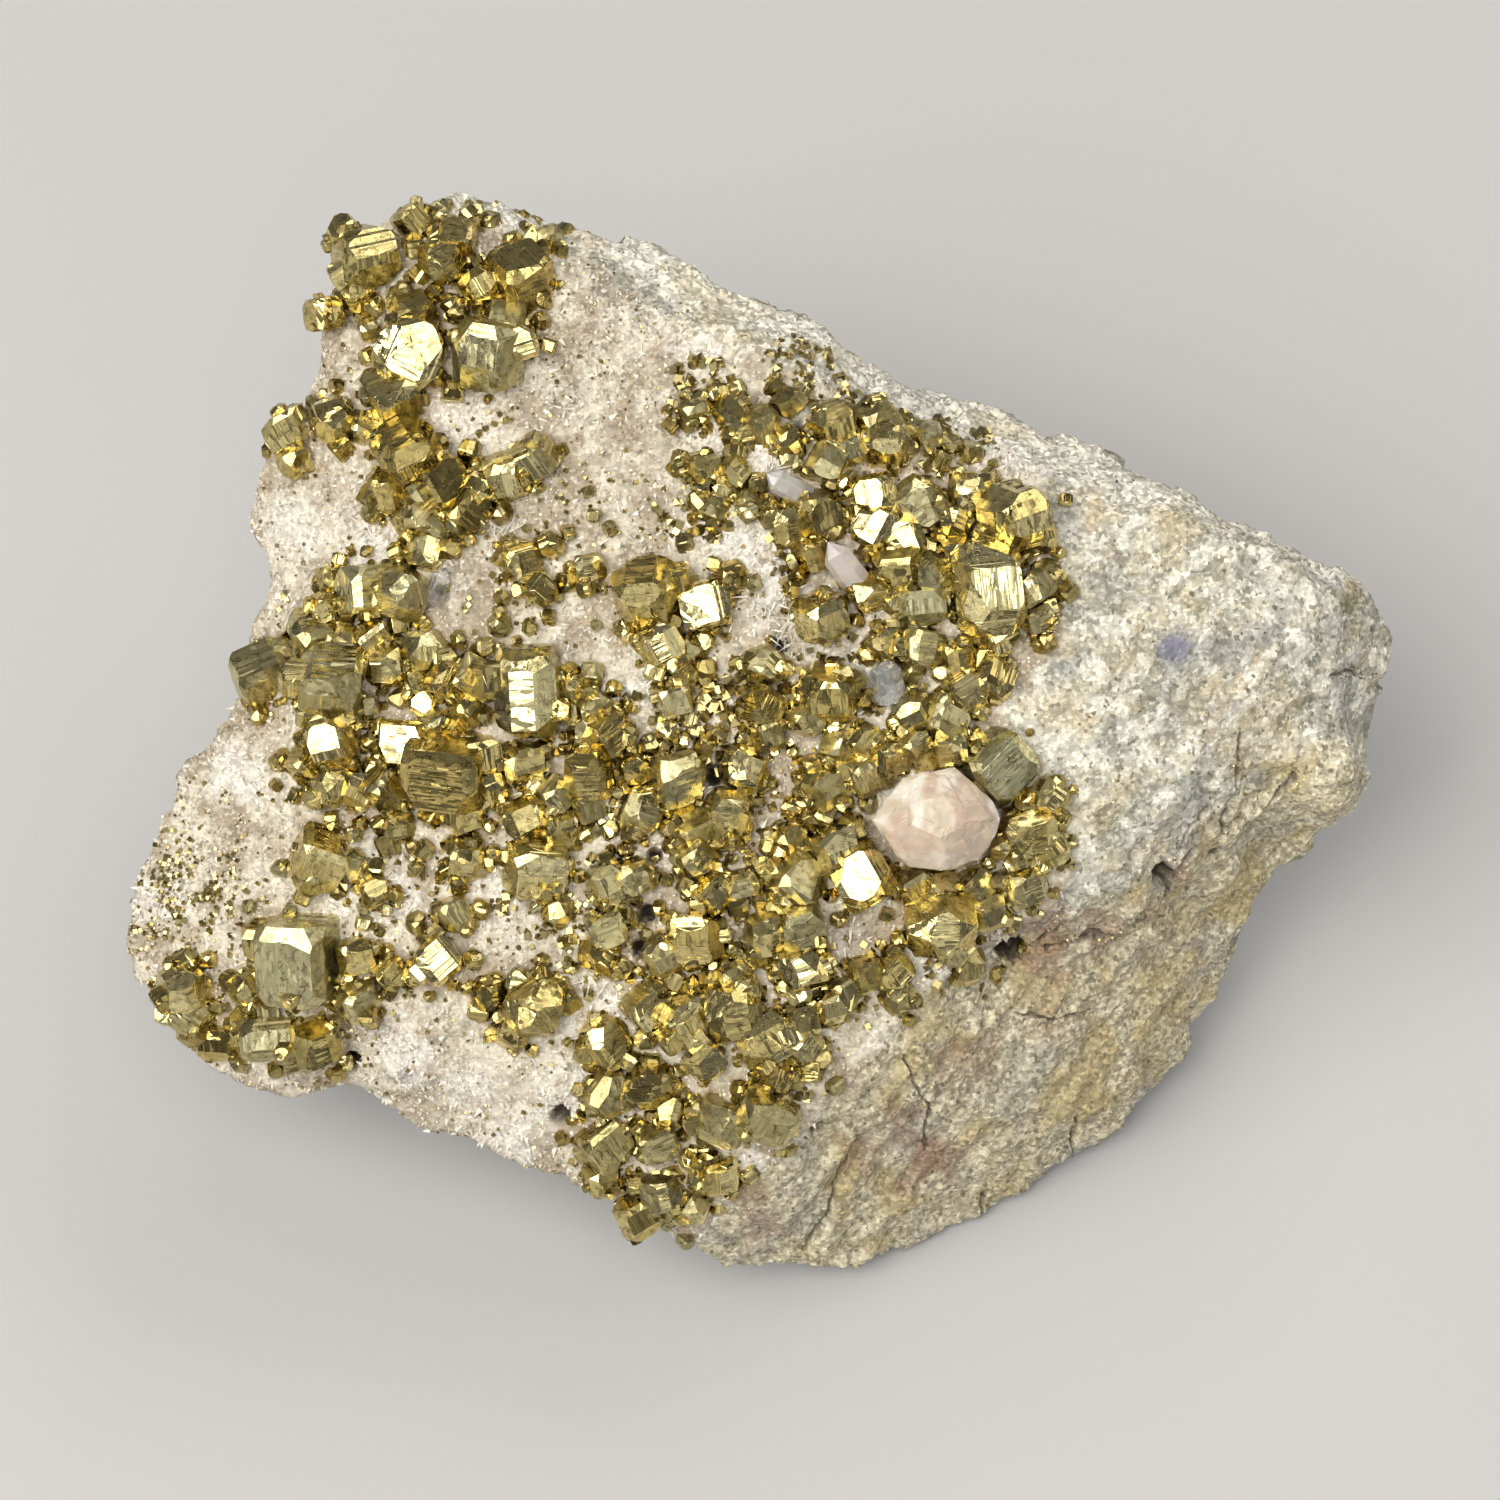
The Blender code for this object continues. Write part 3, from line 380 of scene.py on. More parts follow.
def quartzMaterial(name, tint, density, clear):
    material, tree, shader = newMaterial(name + "Glass")
    shader.inputs["Base Color"].default_value = tint
    shader.inputs["Roughness"].default_value = 0.06
    shader.inputs["IOR"].default_value = 1.544
    shader.inputs["Transmission Weight"].default_value = clear
    at = objectPlace(tree)
    skin = useGroup(tree, chips, {"Vector": at, "Scale": 2200.0}).outputs["Height"]
    bumpInto(tree, shader, skin, 1.0, 0.02 * mm)
    absorb = addNode(tree, "ShaderNodeVolumeAbsorption", {"Color": tint, "Density": density})
    tree.links.new(absorb.outputs["Volume"], tree.nodes["Material Output"].inputs["Volume"])
    return material


def addPiece(name, mesh, material, nodes=()):
    # A piece on the body, in the material given, in place of the nodes given.
    piece = bpy.data.objects.new(name, mesh)
    bpy.context.scene.collection.objects.link(piece)
    mesh.materials.append(material)
    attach(piece, "root")
    if nodes:
        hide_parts(*nodes)


def setAttribute(mesh, name, kind, domain, values):
    layer = mesh.attributes.new(name, kind, domain)
    field = "vector" if kind == "FLOAT_VECTOR" else "value"
    layer.data.foreach_set(field, np.asarray(values, np.float32).ravel())


# The rock. Outlines and cracks are places in steps. Spots are x, y, reach and strength; pits, mounds and
# bulges end with a depth or a height in mm.
rock = {
    "voxel": 0.285 * mm,
    "smoothing": 5,
    "druse": [(405, 170), (432, 206), (500, 226), (575, 252), (640, 288), (700, 330), (800, 372),
              (905, 415), (980, 443), (1045, 470), (1062, 560), (1060, 640), (1030, 690), (1000, 730),
              (1045, 765), (1070, 800), (1062, 900), (1000, 935), (960, 965), (930, 985), (860, 1070),
              (800, 1135), (735, 1190), (700, 1235), (640, 1250), (560, 1205), (450, 1160), (350, 1110),
              (200, 1090), (60, 960), (100, 780), (210, 660), (200, 560), (220, 450), (280, 330),
              (300, 190)],
    # The top strip, painted paler as painted light from above.
    "strip": [(405, 175), (440, 210), (580, 250), (740, 330), (823, 370), (906, 427), (976, 456),
              (1100, 491), (1202, 526), (1265, 546), (1315, 572), (1400, 600), (1420, 560), (1200, 440),
              (900, 320), (600, 180)],
    "lowerSide": [(992, 952), (1066, 907), (1167, 880), (1198, 821), (1210, 812), (1308, 735), (1400, 760),
                  (1330, 1000), (1200, 1200), (900, 1320), (700, 1320), (700, 1232), (735, 1190),
                  (800, 1135), (860, 1070), (930, 985)],
    "pale": [(1130, 490, 44, 0.6), (1280, 590, 56, 0.6), (1060, 740, 26, 0.8), (1080, 855, 36, 0.7),
             (755, 1168, 15, 0.9), (735, 545, 42, 1), (770, 580, 36, 1), (765, 462, 24, 1),
             (370, 545, 28, 0.9), (571, 1028, 18, 1), (406, 1055, 36, 0.9), (515, 1135, 34, 0.8),
             (560, 1090, 28, 0.9), (931, 965, 24, 0.9), (400, 890, 20, 0.9), (340, 905, 24, 0.9),
             (615, 1010, 26, 0.9), (1390, 670, 14, 0.8), (1235, 520, 40, 0.6), (160, 900, 26, 0.8),
             (225, 770, 34, 0.8), (470, 1090, 30, 0.8), (640, 690, 18, 0.8), (612, 800, 22, 0.8),
             (990, 470, 22, 0.6), (720, 440, 20, 0.9), (1000, 700, 18, 0.8), (1060, 690, 20, 0.5),
             (700, 350, 24, 0.6), (1330, 620, 30, 0.5), (500, 900, 30, 0.7), (300, 520, 40, 0.6),
             (470, 420, 40, 0.5)],
    "cool": [(1172, 648, 17, 0.9), (1110, 570, 46, 0.35), (365, 850, 22, 0.5), (740, 920, 20, 0.5),
             (770, 830, 16, 0.4), (445, 925, 18, 0.4), (225, 985, 18, 0.4), (380, 1030, 18, 0.4),
             (850, 930, 26, 0.3), (835, 655, 28, 0.4), (1230, 705, 34, 0.3), (625, 300, 34, 0.35),
             (560, 380, 30, 0.3), (1020, 1100, 40, 0.3), (1130, 760, 34, 0.25), (1200, 960, 30, 0.3)],
    "ochre": [(1070, 640, 20, 0.35), (1075, 690, 18, 0.3), (1132, 659, 22, 0.3), (1192, 698, 24, 0.3),
              (1170, 985, 34, 0.6), (1180, 915, 24, 0.45), (1135, 985, 24, 0.4), (1160, 930, 20, 0.4),
              (1350, 590, 13, 0.5), (1210, 1000, 24, 0.4), (1000, 1190, 24, 0.3), (1110, 860, 18, 0.3),
              (1150, 1060, 28, 0.4), (940, 1020, 20, 0.3)],
    # Rust spots; the one at 1050, 944 lies on a ledge of the lower side and paints its shade.
    "rustAndLedgeShade": [(925, 1160, 32, 0.75), (900, 1115, 26, 0.55), (1050, 944, 38, 0.6), (1100, 932, 26, 0.55),
             (860, 1150, 26, 0.5), (965, 1060, 34, 0.4), (760, 1215, 28, 0.45), (850, 1090, 24, 0.3),
             (1055, 1016, 26, 0.35), (1015, 952, 16, 0.6), (1150, 915, 16, 0.4), (840, 1140, 12, 0.4),
             (1180, 872, 16, 0.5)],
    "violet": [(1174, 647, 17, 0.95)],
    "olive": [(1348, 603, 15, 0.9), (1352, 628, 13, 0.75), (1302, 572, 13, 0.35), (1200, 608, 10, 0.5),
              (1092, 690, 12, 0.4), (1230, 770, 14, 0.3)],
    "dust": [(590, 330, 100, 0.8), (570, 500, 60, 0.8), (640, 420, 60, 0.6), (190, 880, 80, 0.7),
             (420, 1060, 60, 0.5), (545, 925, 40, 0.6), (730, 430, 40, 0.5), (480, 560, 40, 0.5)],
    "pits": [(820, 1130, 7, 1.6), (1165, 874, 8, 2.2), (350, 1062, 8, 1.8), (714, 776, 9, 2.4),
             (795, 425, 6, 1.4), (780, 645, 7, 1.4), (560, 892, 6, 1.2), (655, 855, 8, 1.5),
             (646, 915, 9, 2.0), (560, 1115, 8, 1.0), (1014, 950, 12, 2.4), (1215, 856, 5, 1.0),
             (640, 950, 8, 1.8)],
    "mounds": [(735, 545, 38, 1.1), (772, 585, 30, 1.0), (765, 462, 20, 0.7), (370, 545, 24, 0.5),
               (571, 1028, 14, 0.8), (406, 1055, 34, 0.7), (515, 1135, 32, 0.6), (560, 1090, 24, 0.6),
               (931, 965, 20, 0.8), (640, 690, 14, 0.6), (600, 790, 22, 0.5), (340, 905, 20, 0.5),
               (440, 1010, 40, 0.6)],
    "bulges": [(1325, 775, 44, 1.7), (1262, 852, 26, -0.9)],
    "cracks": [[(1331, 675), (1350, 671), (1364, 678)], [(1240, 735), (1238, 790), (1222, 815), (1220, 835)],
               [(1205, 810), (1190, 830), (1180, 845)], [(1075, 1115), (1073, 1140), (1082, 1170)],
               [(980, 1195), (982, 1210)], [(858, 1135), (838, 1170), (825, 1215), (805, 1250)],
               [(1158, 900), (1168, 884), (1190, 850)], [(1045, 945), (1100, 936), (1150, 915)],
               [(1020, 1014), (1055, 1018), (1092, 1010)], [(1000, 935), (1030, 945), (1060, 925)],
               [(905, 1060), (930, 1110), (925, 1150)],
               [(1290, 772), (1270, 800), (1240, 830)]],
    "crackReach": 9,
    "crackWidth": 1.6,
    "crackDepth": 0.32 * mm,
    "foot": 0.4 * mm,
    # Heights of the relief in mm.
    "swell": 0.16,
    "ripple": 0.10,
    "flakes": 0.28,
    "chips": 0.22,
    "grit": 0.09,
    "druseRise": 0.42,
    "layers": 0.26,
    # Share of the broad warm and cold stains, and how much more or less of it the lower side has.
    "warm": (0.36, 0.35),
    "cold": (0.50, 0.20),
}


def voxelRock():
    # A fine closed copy of the CAD rock, its cut planes a little softened.
    copy = bpy.data.objects.new("rockCopy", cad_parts["matrix_rock"].data.copy())
    bpy.context.scene.collection.objects.link(copy)
    voxels = copy.modifiers.new("voxels", "REMESH")
    voxels.mode = "VOXEL"
    voxels.voxel_size = rock["voxel"]
    soften = copy.modifiers.new("soften", "SMOOTH")
    soften.factor = 0.5
    soften.iterations = rock["smoothing"]
    bm = bmesh.new()
    bm.from_object(copy, bpy.context.evaluated_depsgraph_get())
    bpy.data.objects.remove(copy)
    return bm


def vertexArrays(bm):
    bm.normal_update()
    points = np.array([v.co for v in bm.verts])
    normals = np.array([v.normal for v in bm.verts])
    return points, normals


def facingOf(points, normals, low=0.0, high=0.25):
    # 1 where the surface faces the eye, down to 0 where it turns away.
    towards = np.array(eye) - points
    towards /= np.linalg.norm(towards, axis=1)[:, None]
    return softStep((towards * normals).sum(axis=1), low, high)


def refineCracks(bm):
    # Finer faces along the cracks that are seen.
    points, normals = vertexArrays(bm)
    seen = stepsOf(points)
    facing = facingOf(points, normals)
    near = np.full(len(points), 1e9)
    for line in rock["cracks"]:
        near = np.minimum(near, lineDistance(seen, line))
    close = (near < rock["crackReach"]) & (facing > 0.1)
    bm.verts.index_update()
    edges = [e for e in bm.edges if close[e.verts[0].index] and close[e.verts[1].index]]
    bmesh.ops.subdivide_edges(bm, edges=edges, cuts=2, use_grid_fill=True)


def spotMask(seen, spots, ragged):
    # Round spots with a ragged rim.
    mask = np.zeros(len(seen))
    for x, y, reach, strength in spots:
        away = np.hypot(seen[:, 0] - x, seen[:, 1] - y) + ragged * reach * 0.9
        mask = np.maximum(mask, strength * softStep(-away, -reach * 1.3, -reach * 0.3))
    return mask


def rockMasks(points, normals, seen, facing, ragged):
    # Where each kind of surface and stain lies, from 0 to 1 for each point.
    masks = {}
    druse = softStep(insideDistance(seen, rock["druse"]) + 14 * ragged, -5, 9)
    masks["druse"] = druse * facingOf(points, normals, -0.5, 0.1)
    masks["shade"] = softStep(insideDistance(seen, rock["lowerSide"]) + 10 * ragged, -6, 14) * facing
    # The top strip is painted paler as painted light from above: it joins the real whitish spots in the pale
    # mask and has less of the cold stain.
    strip = softStep(insideDistance(seen, rock["strip"]) + 8 * ragged, -4, 10) * facing
    masks["pale"] = np.maximum(spotMask(seen, rock["pale"], ragged) * facing, strip)
    mottle = noiseAt(points, 3.0 * mm, 2.9) + 0.6 * noiseAt(points, 1.3 * mm, 4.1)
    mottle += 0.5 * noiseAt(points, 0.65 * mm, 7.7)
    masks["mottle"] = np.clip(0.5 + 0.4 * mottle, 0, 1)
    masks["bits"] = cellsAt(points + 0.25 * mm * ragged[:, None], 0.95 * mm, 2.4)
    stony = 1 - masks["druse"]
    broad = noiseAt(points, 5 * mm, 3.6) + 0.6 * noiseAt(points, 2.1 * mm, 9.2)
    share, more = rock["warm"]
    warm = (share + more * masks["shade"]) * softStep(broad, 0.08, 0.5) * stony
    share, less = rock["cold"]
    cold = (share - less * masks["shade"]) * softStep(-broad, 0.12, 0.5) * stony * (1 - 0.7 * strip)
    masks["cool"] = np.maximum(spotMask(seen, rock["cool"], ragged) * facing, cold)
    masks["ochre"] = np.maximum(spotMask(seen, rock["ochre"], ragged) * facing, warm)
    # Real rust, and painted shade on a ledge of the lower side.
    masks["rustAndLedgeShade"] = spotMask(seen, rock["rustAndLedgeShade"], ragged) * facing
    masks["violet"] = spotMask(seen, rock["violet"], 0.3 * ragged) * facing
    masks["olive"] = spotMask(seen, rock["olive"], 0.5 * ragged) * facing
    masks["dust"] = np.maximum(spotMask(seen, rock["dust"], ragged), 0.1) * druse
    return masks


def shapeRock(bm):
    # New places for the points of the rock, its masks and the painted shade in its pits and cracks.
    points, normals = vertexArrays(bm)
    seen = stepsOf(points)
    facing = facingOf(points, normals)
    ragged = noiseAt(points, 1.6 * mm, 5.1) + 0.5 * noiseAt(points, 0.6 * mm, 8.3)
    masks = rockMasks(points, normals, seen, facing, ragged)
    stony = 1 - masks["druse"]
    height = rock["swell"] * noiseAt(points, 3.4 * mm, 2.2) + rock["ripple"] * noiseAt(points, 1.2 * mm, 4.4)
    broken = rock["flakes"] * chipsAt(points, 2.8 * mm, 6.1) + rock["chips"] * chipsAt(points, 1.2 * mm, 9.7)
    height += stony * broken
    height += stony * rock["grit"] * noiseAt(points, 0.6 * mm, 1.9)
    height += masks["druse"] * rock["druseRise"] * grainsAt(points, 0.8 * mm, 3.3)
    # Layers on the lower side run down to the left, with small ledges between them.
    down = np.array(sightUp) * -0.8 - np.array(sightRight) * 0.6
    cross = np.array(sightUp) * 0.6 - np.array(sightRight) * 0.8
    away = np.array(sightOut)
    layered = np.stack([points @ cross / 0.9, points @ down / 3.2, points @ away / 2.0], axis=1)
    layers = noiseAt(layered, 1 * mm, 7.1) * (0.5 + softStep(noiseAt(points, 3 * mm, 6.6), -0.2, 0.3))
    height += masks["shade"] * rock["layers"] * np.clip(layers * 2.4, -1, 1)

    # The pits and cracks are sunk and also painted near-black: painted shade.
    pitShade = np.zeros(len(points))
    for x, y, reach, depth in rock["pits"]:
        away = np.hypot(seen[:, 0] - x, seen[:, 1] - y) * (1 + 0.35 * ragged)
        share = softStep(-away, -reach * 1.5, -reach * 0.35) * facing
        height -= share * depth
        pitShade = np.maximum(pitShade, softStep(share, 0.1, 0.5))
    for x, y, reach, rise in rock["mounds"]:
        away = np.hypot(seen[:, 0] - x, seen[:, 1] - y)
        height += rise * softStep(-away, -reach * 1.5, 0) * facing * (0.75 + 0.8 * ragged)
    for x, y, reach, rise in rock["bulges"]:
        away = np.hypot(seen[:, 0] - x, seen[:, 1] - y)
        height += rise * softStep(-away, -reach * 1.5, 0)
    for line in rock["cracks"]:
        away = lineDistance(seen + 5 * np.stack([ragged, -ragged], axis=1), line) + 1.2 * ragged
        share = softStep(-away, -rock["crackWidth"] * 1.6, -rock["crackWidth"] * 0.3) * facing
        height -= share * rock["crackDepth"] / mm
        pitShade = np.maximum(pitShade, 0.65 * share)
    masks["pitShade"] = pitShade
    moved = points + normals * (height * mm)[:, None]
    foot = points[:, 2] <= rock["foot"]
    moved[foot] = points[foot]
    return moved, masks


def splitMesh(name, places, faces, normals, masks, chosen):
    # The chosen faces as a mesh of their own, shaded with the normals of the whole.
    used = np.zeros(len(places), bool)
    for i in chosen:
        used[list(faces[i])] = True
    order = np.cumsum(used) - 1
    mesh = bpy.data.meshes.new(name)
    mesh.from_pydata(places[used].tolist(), [], [[int(order[j]) for j in faces[i]] for i in chosen])
    for label, values in masks.items():
        setAttribute(mesh, label, "FLOAT", "POINT", values[used])
    mesh.shade_smooth()
    mesh.normals_split_custom_set_from_vertices(normals[used].tolist())
    return mesh


def makeRock():
    bm = voxelRock()
    refineCracks(bm)
    places, masks = shapeRock(bm)
    for vert, place in zip(bm.verts, places):
        vert.co = place
    bm.normal_update()
    bm.verts.index_update()
    normals = np.array([v.normal for v in bm.verts])
    faces = [[v.index for v in f.verts] for f in bm.faces]
    middles = np.array([f.calc_center_median() for f in bm.faces])
    turned = np.array([f.normal for f in bm.faces])
    towards = np.array(eye) - middles
    front = (towards * turned).sum(axis=1) > 0
    bm.free()
    material = rockMaterial()
    for name, side in (("rock_crystal_side", front), ("rock_under_side", ~front)):
        mesh = splitMesh(name, places, faces, normals, masks, np.flatnonzero(side))
        addPiece(name, mesh, material, ["matrix_rock"])
        print(name, sum(len(p.vertices) - 2 for p in mesh.polygons), "triangles")
    seenFaces = [faces[i] for i in np.flatnonzero(front)]
    tree = BVHTree.FromPolygons([Vector(p) for p in places], seenFaces)
    return places, normals, masks, tree


rockPlaces, rockNormals, rockSkin, rockTree = makeRock()
rockSeen = stepsOf(rockPlaces)
rockFacing = facingOf(rockPlaces, rockNormals)


def surfaceUnder(x, y):
    # Where the line of sight at these steps meets the rock, and the normal there.
    towards = (sightPoint(x, y) - eye).normalized()
    hit, normal, _, _ = rockTree.ray_cast(eye, towards)
    if hit is None:
        return None, None
    return hit, normal


# Each pyrite crystal: x, y, width in steps, habit, then its turns in degrees: lean back, swing right, roll.
crystals = {
    "upperLeft": [
        (367, 257, 74, "pyrito", 16, 26, 8), (345, 236, 40, "mixed", 44, 10, 20),
        (356, 287, 40, "mixed", 10, 30, 4), (442, 262, 48, "mixed", 35, 20, 20),
        (458, 241, 44, "cube", 50, -10, 4), (522, 279, 62, "cube", 42, 24, 6),
        (480, 286, 46, "mixed", 8, 10, 30), (414, 314, 54, "mixed", 34, 12, 12),
        (412, 353, 76, "mixed", 2, 3, -24), (491, 354, 78, "mixed", 18, -16, -6),
        (505, 324, 50, "cube", 52, -8, 0), (393, 395, 60, "cube", 48, 16, 12),
        (324, 314, 36, "cube", 10, 40, 10), (352, 300, 34, "mixed", 30, 30, 50),
        (414, 222, 40, "mixed", 20, 10, 40), (548, 240, 34, "mixed", 30, 20, 10),
    ],
    "leftEdge": [
        (287, 430, 46, "mixed", 14, -10, 30), (334, 420, 46, "mixed", 46, 10, 10),
        (295, 460, 34, "cube", 30, 30, 10), (365, 428, 34, "mixed", 20, 20, 60),
    ],
    "leftClump": [
        (412, 458, 80, "mixed", 44, 6, 24), (440, 482, 54, "cube", 20, 24, 30),
        (387, 490, 44, "mixed", 30, -20, 10), (419, 517, 46, "mixed", 10, 30, 40),
        (466, 510, 44, "cube", 36, 10, 50), (505, 477, 46, "mixed", 20, 10, 15),
        (533, 460, 46, "mixed", 26, -24, 35), (478, 487, 34, "mixed", 12, 14, 70),
    ],
    "leftMiddle": [
        (425, 552, 38, "mixed", 30, 16, 70), (367, 588, 58, "cube", 6, 34, 4),
        (404, 593, 64, "octahedral", 20, 40, 12), (327, 606, 40, "mixed", 20, 30, 10),
        (314, 640, 46, "mixed", 34, 20, 5), (348, 642, 34, "mixed", 10, 20, 60),
        (372, 640, 40, "cube", 30, 10, 33), (389, 665, 46, "mixed", 20, -26, 8),
        (424, 650, 48, "octahedral", 4, 20, 4), (420, 678, 36, "mixed", 20, 20, 20),
        (262, 676, 62, "cube", 48, 16, 12), (332, 688, 76, "cube", 44, 4, -6),
        (336, 742, 62, "mixed", 22, -18, 20), (306, 763, 36, "cube", 30, 30, 40),
        (332, 787, 46, "mixed", 8, 24, 10), (360, 787, 46, "mixed", 10, -12, 66),
        (386, 787, 48, "cube", 34, 24, 40), (405, 742, 54, "cube", 3, -4, -4),
        (449, 770, 84, "cube", 28, -14, 0), (436, 726, 36, "mixed", 40, 12, 20),
        (467, 712, 38, "mixed", 16, 24, 40), (446, 680, 38, "mixed", 38, 12, 60),
        (471, 680, 46, "cube", 18, 30, 60), (464, 814, 40, "mixed", 20, 10, 16),
        (530, 690, 84, "slab", 9, -9, 3), (398, 826, 34, "mixed", 30, 20, 0),
        (489, 790, 40, "mixed", 18, 34, 14),
    ],
    "centre": [
        (520, 562, 44, "mixed", 18, 24, 10), (541, 590, 40, "mixed", 10, 16, 50),
        (590, 569, 34, "mixed", 24, 12, 5), (649, 598, 80, "mixed", 40, -14, 14),
        (662, 640, 52, "mixed", 12, -16, 30), (705, 604, 54, "mixed", 0, 1, 12),
        (732, 577, 34, "mixed", 30, 20, 10), (765, 665, 42, "mixed", 22, 18, 50),
        (678, 663, 40, "mixed", 30, 20, 30), (673, 700, 38, "cube", 18, 14, 10),
        (594, 708, 38, "mixed", 44, 10, 30), (584, 737, 38, "mixed", 24, 20, 60),
        (611, 731, 44, "cube", 26, 20, 32), (571, 690, 34, "mixed", 10, 30, 10),
        (590, 772, 58, "mixed", 26, -20, 10), (524, 762, 48, "mixed", 30, 16, 8),
        (557, 794, 42, "mixed", 20, 12, 44), (525, 817, 50, "mixed", 10, 4, 24),
        (563, 828, 42, "mixed", 40, 6, 5), (587, 806, 34, "cube", 20, 20, 15),
        (635, 770, 34, "mixed", 40, 6, 30), (639, 814, 44, "mixed", 20, 14, 70),
        (677, 778, 54, "mixed", 26, 24, 6), (743, 770, 48, "mixed", 20, 16, 62),
        (761, 706, 44, "cube", 36, 10, 58), (767, 737, 36, "mixed", 10, 24, 20),
        (729, 814, 60, "mixed", 38, 6, -6), (696, 829, 48, "cube", 42, 12, 20),
        (696, 857, 44, "mixed", 30, 20, 40), (814, 785, 36, "mixed", 16, 18, 22),
        (661, 640, 34, "mixed", 20, 20, 0),
    ],
    "top": [
        (692, 410, 36, "mixed", 40, 16, 6), (732, 415, 38, "mixed", 26, 16, 50),
        (762, 425, 38, "cube", 34, 20, 14), (789, 445, 38, "mixed", 40, 8, 30),
        (703, 470, 40, "mixed", 20, 20, 10), (733, 474, 38, "mixed", 10, 26, 46),
        (715, 507, 36, "mixed", 36, 14, 60), (787, 527, 42, "mixed", 20, 20, 5),
        (833, 425, 48, "mixed", 20, 12, 16), (875, 422, 44, "cube", 30, 24, 36),
        (884, 446, 52, "mixed", 46, -8, 4), (826, 464, 44, "mixed", 10, 20, 62),
        (927, 438, 36, "mixed", 30, 18, 22), (788, 402, 34, "mixed", 30, 10, 40),
        (852, 450, 34, "mixed", 10, 18, 22),
    ],
    "right": [
        (875, 494, 48, "mixed", 0, 1, 10), (874, 526, 48, "mixed", 1, -1, 62),
        (904, 538, 44, "mixed", 0, 1, 22), (819, 514, 48, "mixed", 20, 20, 14),
        (917, 504, 52, "mixed", 18, -12, 40), (951, 522, 40, "mixed", 22, 18, 66),
        (968, 494, 42, "mixed", 30, 12, 8), (1010, 520, 80, "mixed", 24, 34, 6),
        (986, 588, 92, "long", 4, 7, 6), (1047, 579, 38, "mixed", 20, 20, 40),
        (1036, 618, 36, "mixed", 30, 26, 10), (958, 553, 38, "cube", 30, 12, 3),
        (931, 575, 48, "mixed", 20, 16, 30), (898, 567, 50, "mixed", 34, -14, 12),
        (869, 592, 38, "cube", 40, 14, 8), (923, 606, 48, "tall", 10, 8, 4),
        (921, 647, 46, "mixed", 8, 14, -8), (884, 642, 36, "mixed", 24, 20, 40),
        (957, 660, 38, "mixed", 16, 24, 12), (964, 690, 48, "mixed", 30, 16, 24),
        (992, 678, 44, "mixed", 26, 30, 58), (914, 712, 48, "mixed", 24, -10, 30),
        (944, 718, 50, "mixed", 30, 16, 62), (829, 693, 60, "mixed", 30, -12, 6),
        (806, 718, 40, "mixed", 20, 22, 32), (821, 616, 54, "tall", 30, 26, 10),
        (998, 766, 66, "cube", 17, 10, 42), (997, 640, 36, "mixed", 20, 12, 20),
        (812, 555, 34, "mixed", 20, 30, 20),
    ],
    "rightLower": [
        (915, 744, 38, "mixed", 30, 16, 30), (950, 747, 44, "mixed", 30, -14, 8),
        (889, 757, 42, "tall", 16, 30, 4), (863, 741, 36, "mixed", 26, 20, 50),
        (867, 775, 38, "cube", 20, 16, 18), (839, 746, 34, "mixed", 40, 12, 60),
        (826, 789, 42, "mixed", 22, 16, 28), (848, 768, 36, "mixed", 20, 20, 0),
        (836, 847, 60, "mixed", 20, 14, 16), (861, 876, 64, "mixed", 0, 1, 30),
        (797, 880, 54, "cube", 20, 24, 48), (800, 925, 54, "mixed", 22, 14, 4),
        (912, 884, 40, "mixed", 30, 20, 20), (944, 886, 42, "mixed", 34, 10, 3),
        (974, 886, 42, "cube", 28, 24, 40), (940, 921, 74, "octahedral", 12, 6, 2),
        (986, 910, 40, "mixed", 20, 24, 10), (1025, 831, 58, "mixed", 22, 18, 8),
        (1049, 846, 42, "mixed", 18, 16, 40), (1022, 886, 48, "mixed", 20, 26, 12),
        (1049, 797, 40, "mixed", 20, 16, 55), (802, 967, 56, "pyrito", 5, 4, 18),
        (865, 972, 36, "cube", 24, 20, 12), (893, 972, 44, "mixed", 12, 14, 42),
        (845, 990, 34, "mixed", 26, 20, 24), (897, 996, 36, "mixed", 20, 12, 14),
        (966, 965, 40, "mixed", 24, 22, 5), (767, 934, 48, "mixed", 34, 10, 20),
        (790, 838, 36, "mixed", 30, 20, 36), (741, 884, 36, "mixed", 20, 12, 10),
        (712, 893, 38, "mixed", 30, 18, 40),
    ],
    "lowerLeft": [
        (320, 858, 56, "cube", 30, 20, -30), (350, 866, 34, "mixed", 26, 20, 20),
        (299, 958, 92, "cube", 15, -18, 2), (356, 955, 44, "mixed", 10, 14, 10),
        (247, 986, 40, "mixed", 20, 30, 24), (375, 892, 38, "mixed", 26, 12, 20),
        (438, 959, 56, "pyrito", 3, 4, 40), (454, 914, 36, "cube", 14, 20, 30),
        (467, 860, 44, "mixed", 40, 10, -12), (537, 866, 64, "mixed", 38, 14, -14),
        (186, 986, 54, "mixed", 38, 14, 20), (192, 1014, 56, "mixed", 16, 14, 50),
        (219, 1042, 46, "tall", 14, -24, 4), (266, 1037, 56, "tall", 6, 8, 4),
        (314, 1042, 60, "mixed", 24, 20, 14), (360, 1000, 44, "mixed", 30, 26, 20),
        (390, 972, 36, "mixed", 20, 12, 44), (535, 1006, 68, "octahedral", 34, 8, 30),
        (490, 990, 36, "mixed", 20, 24, 6), (512, 1030, 40, "mixed", 24, 18, 50),
    ],
    "lowerMiddle": [
        (606, 928, 40, "cube", 12, 10, 20), (600, 956, 42, "mixed", 28, 20, 60),
        (696, 936, 62, "pyrito", 10, -14, 4), (664, 953, 46, "mixed", 28, 14, 20),
        (634, 877, 42, "mixed", 20, 24, 12), (608, 883, 46, "mixed", 10, 12, 24),
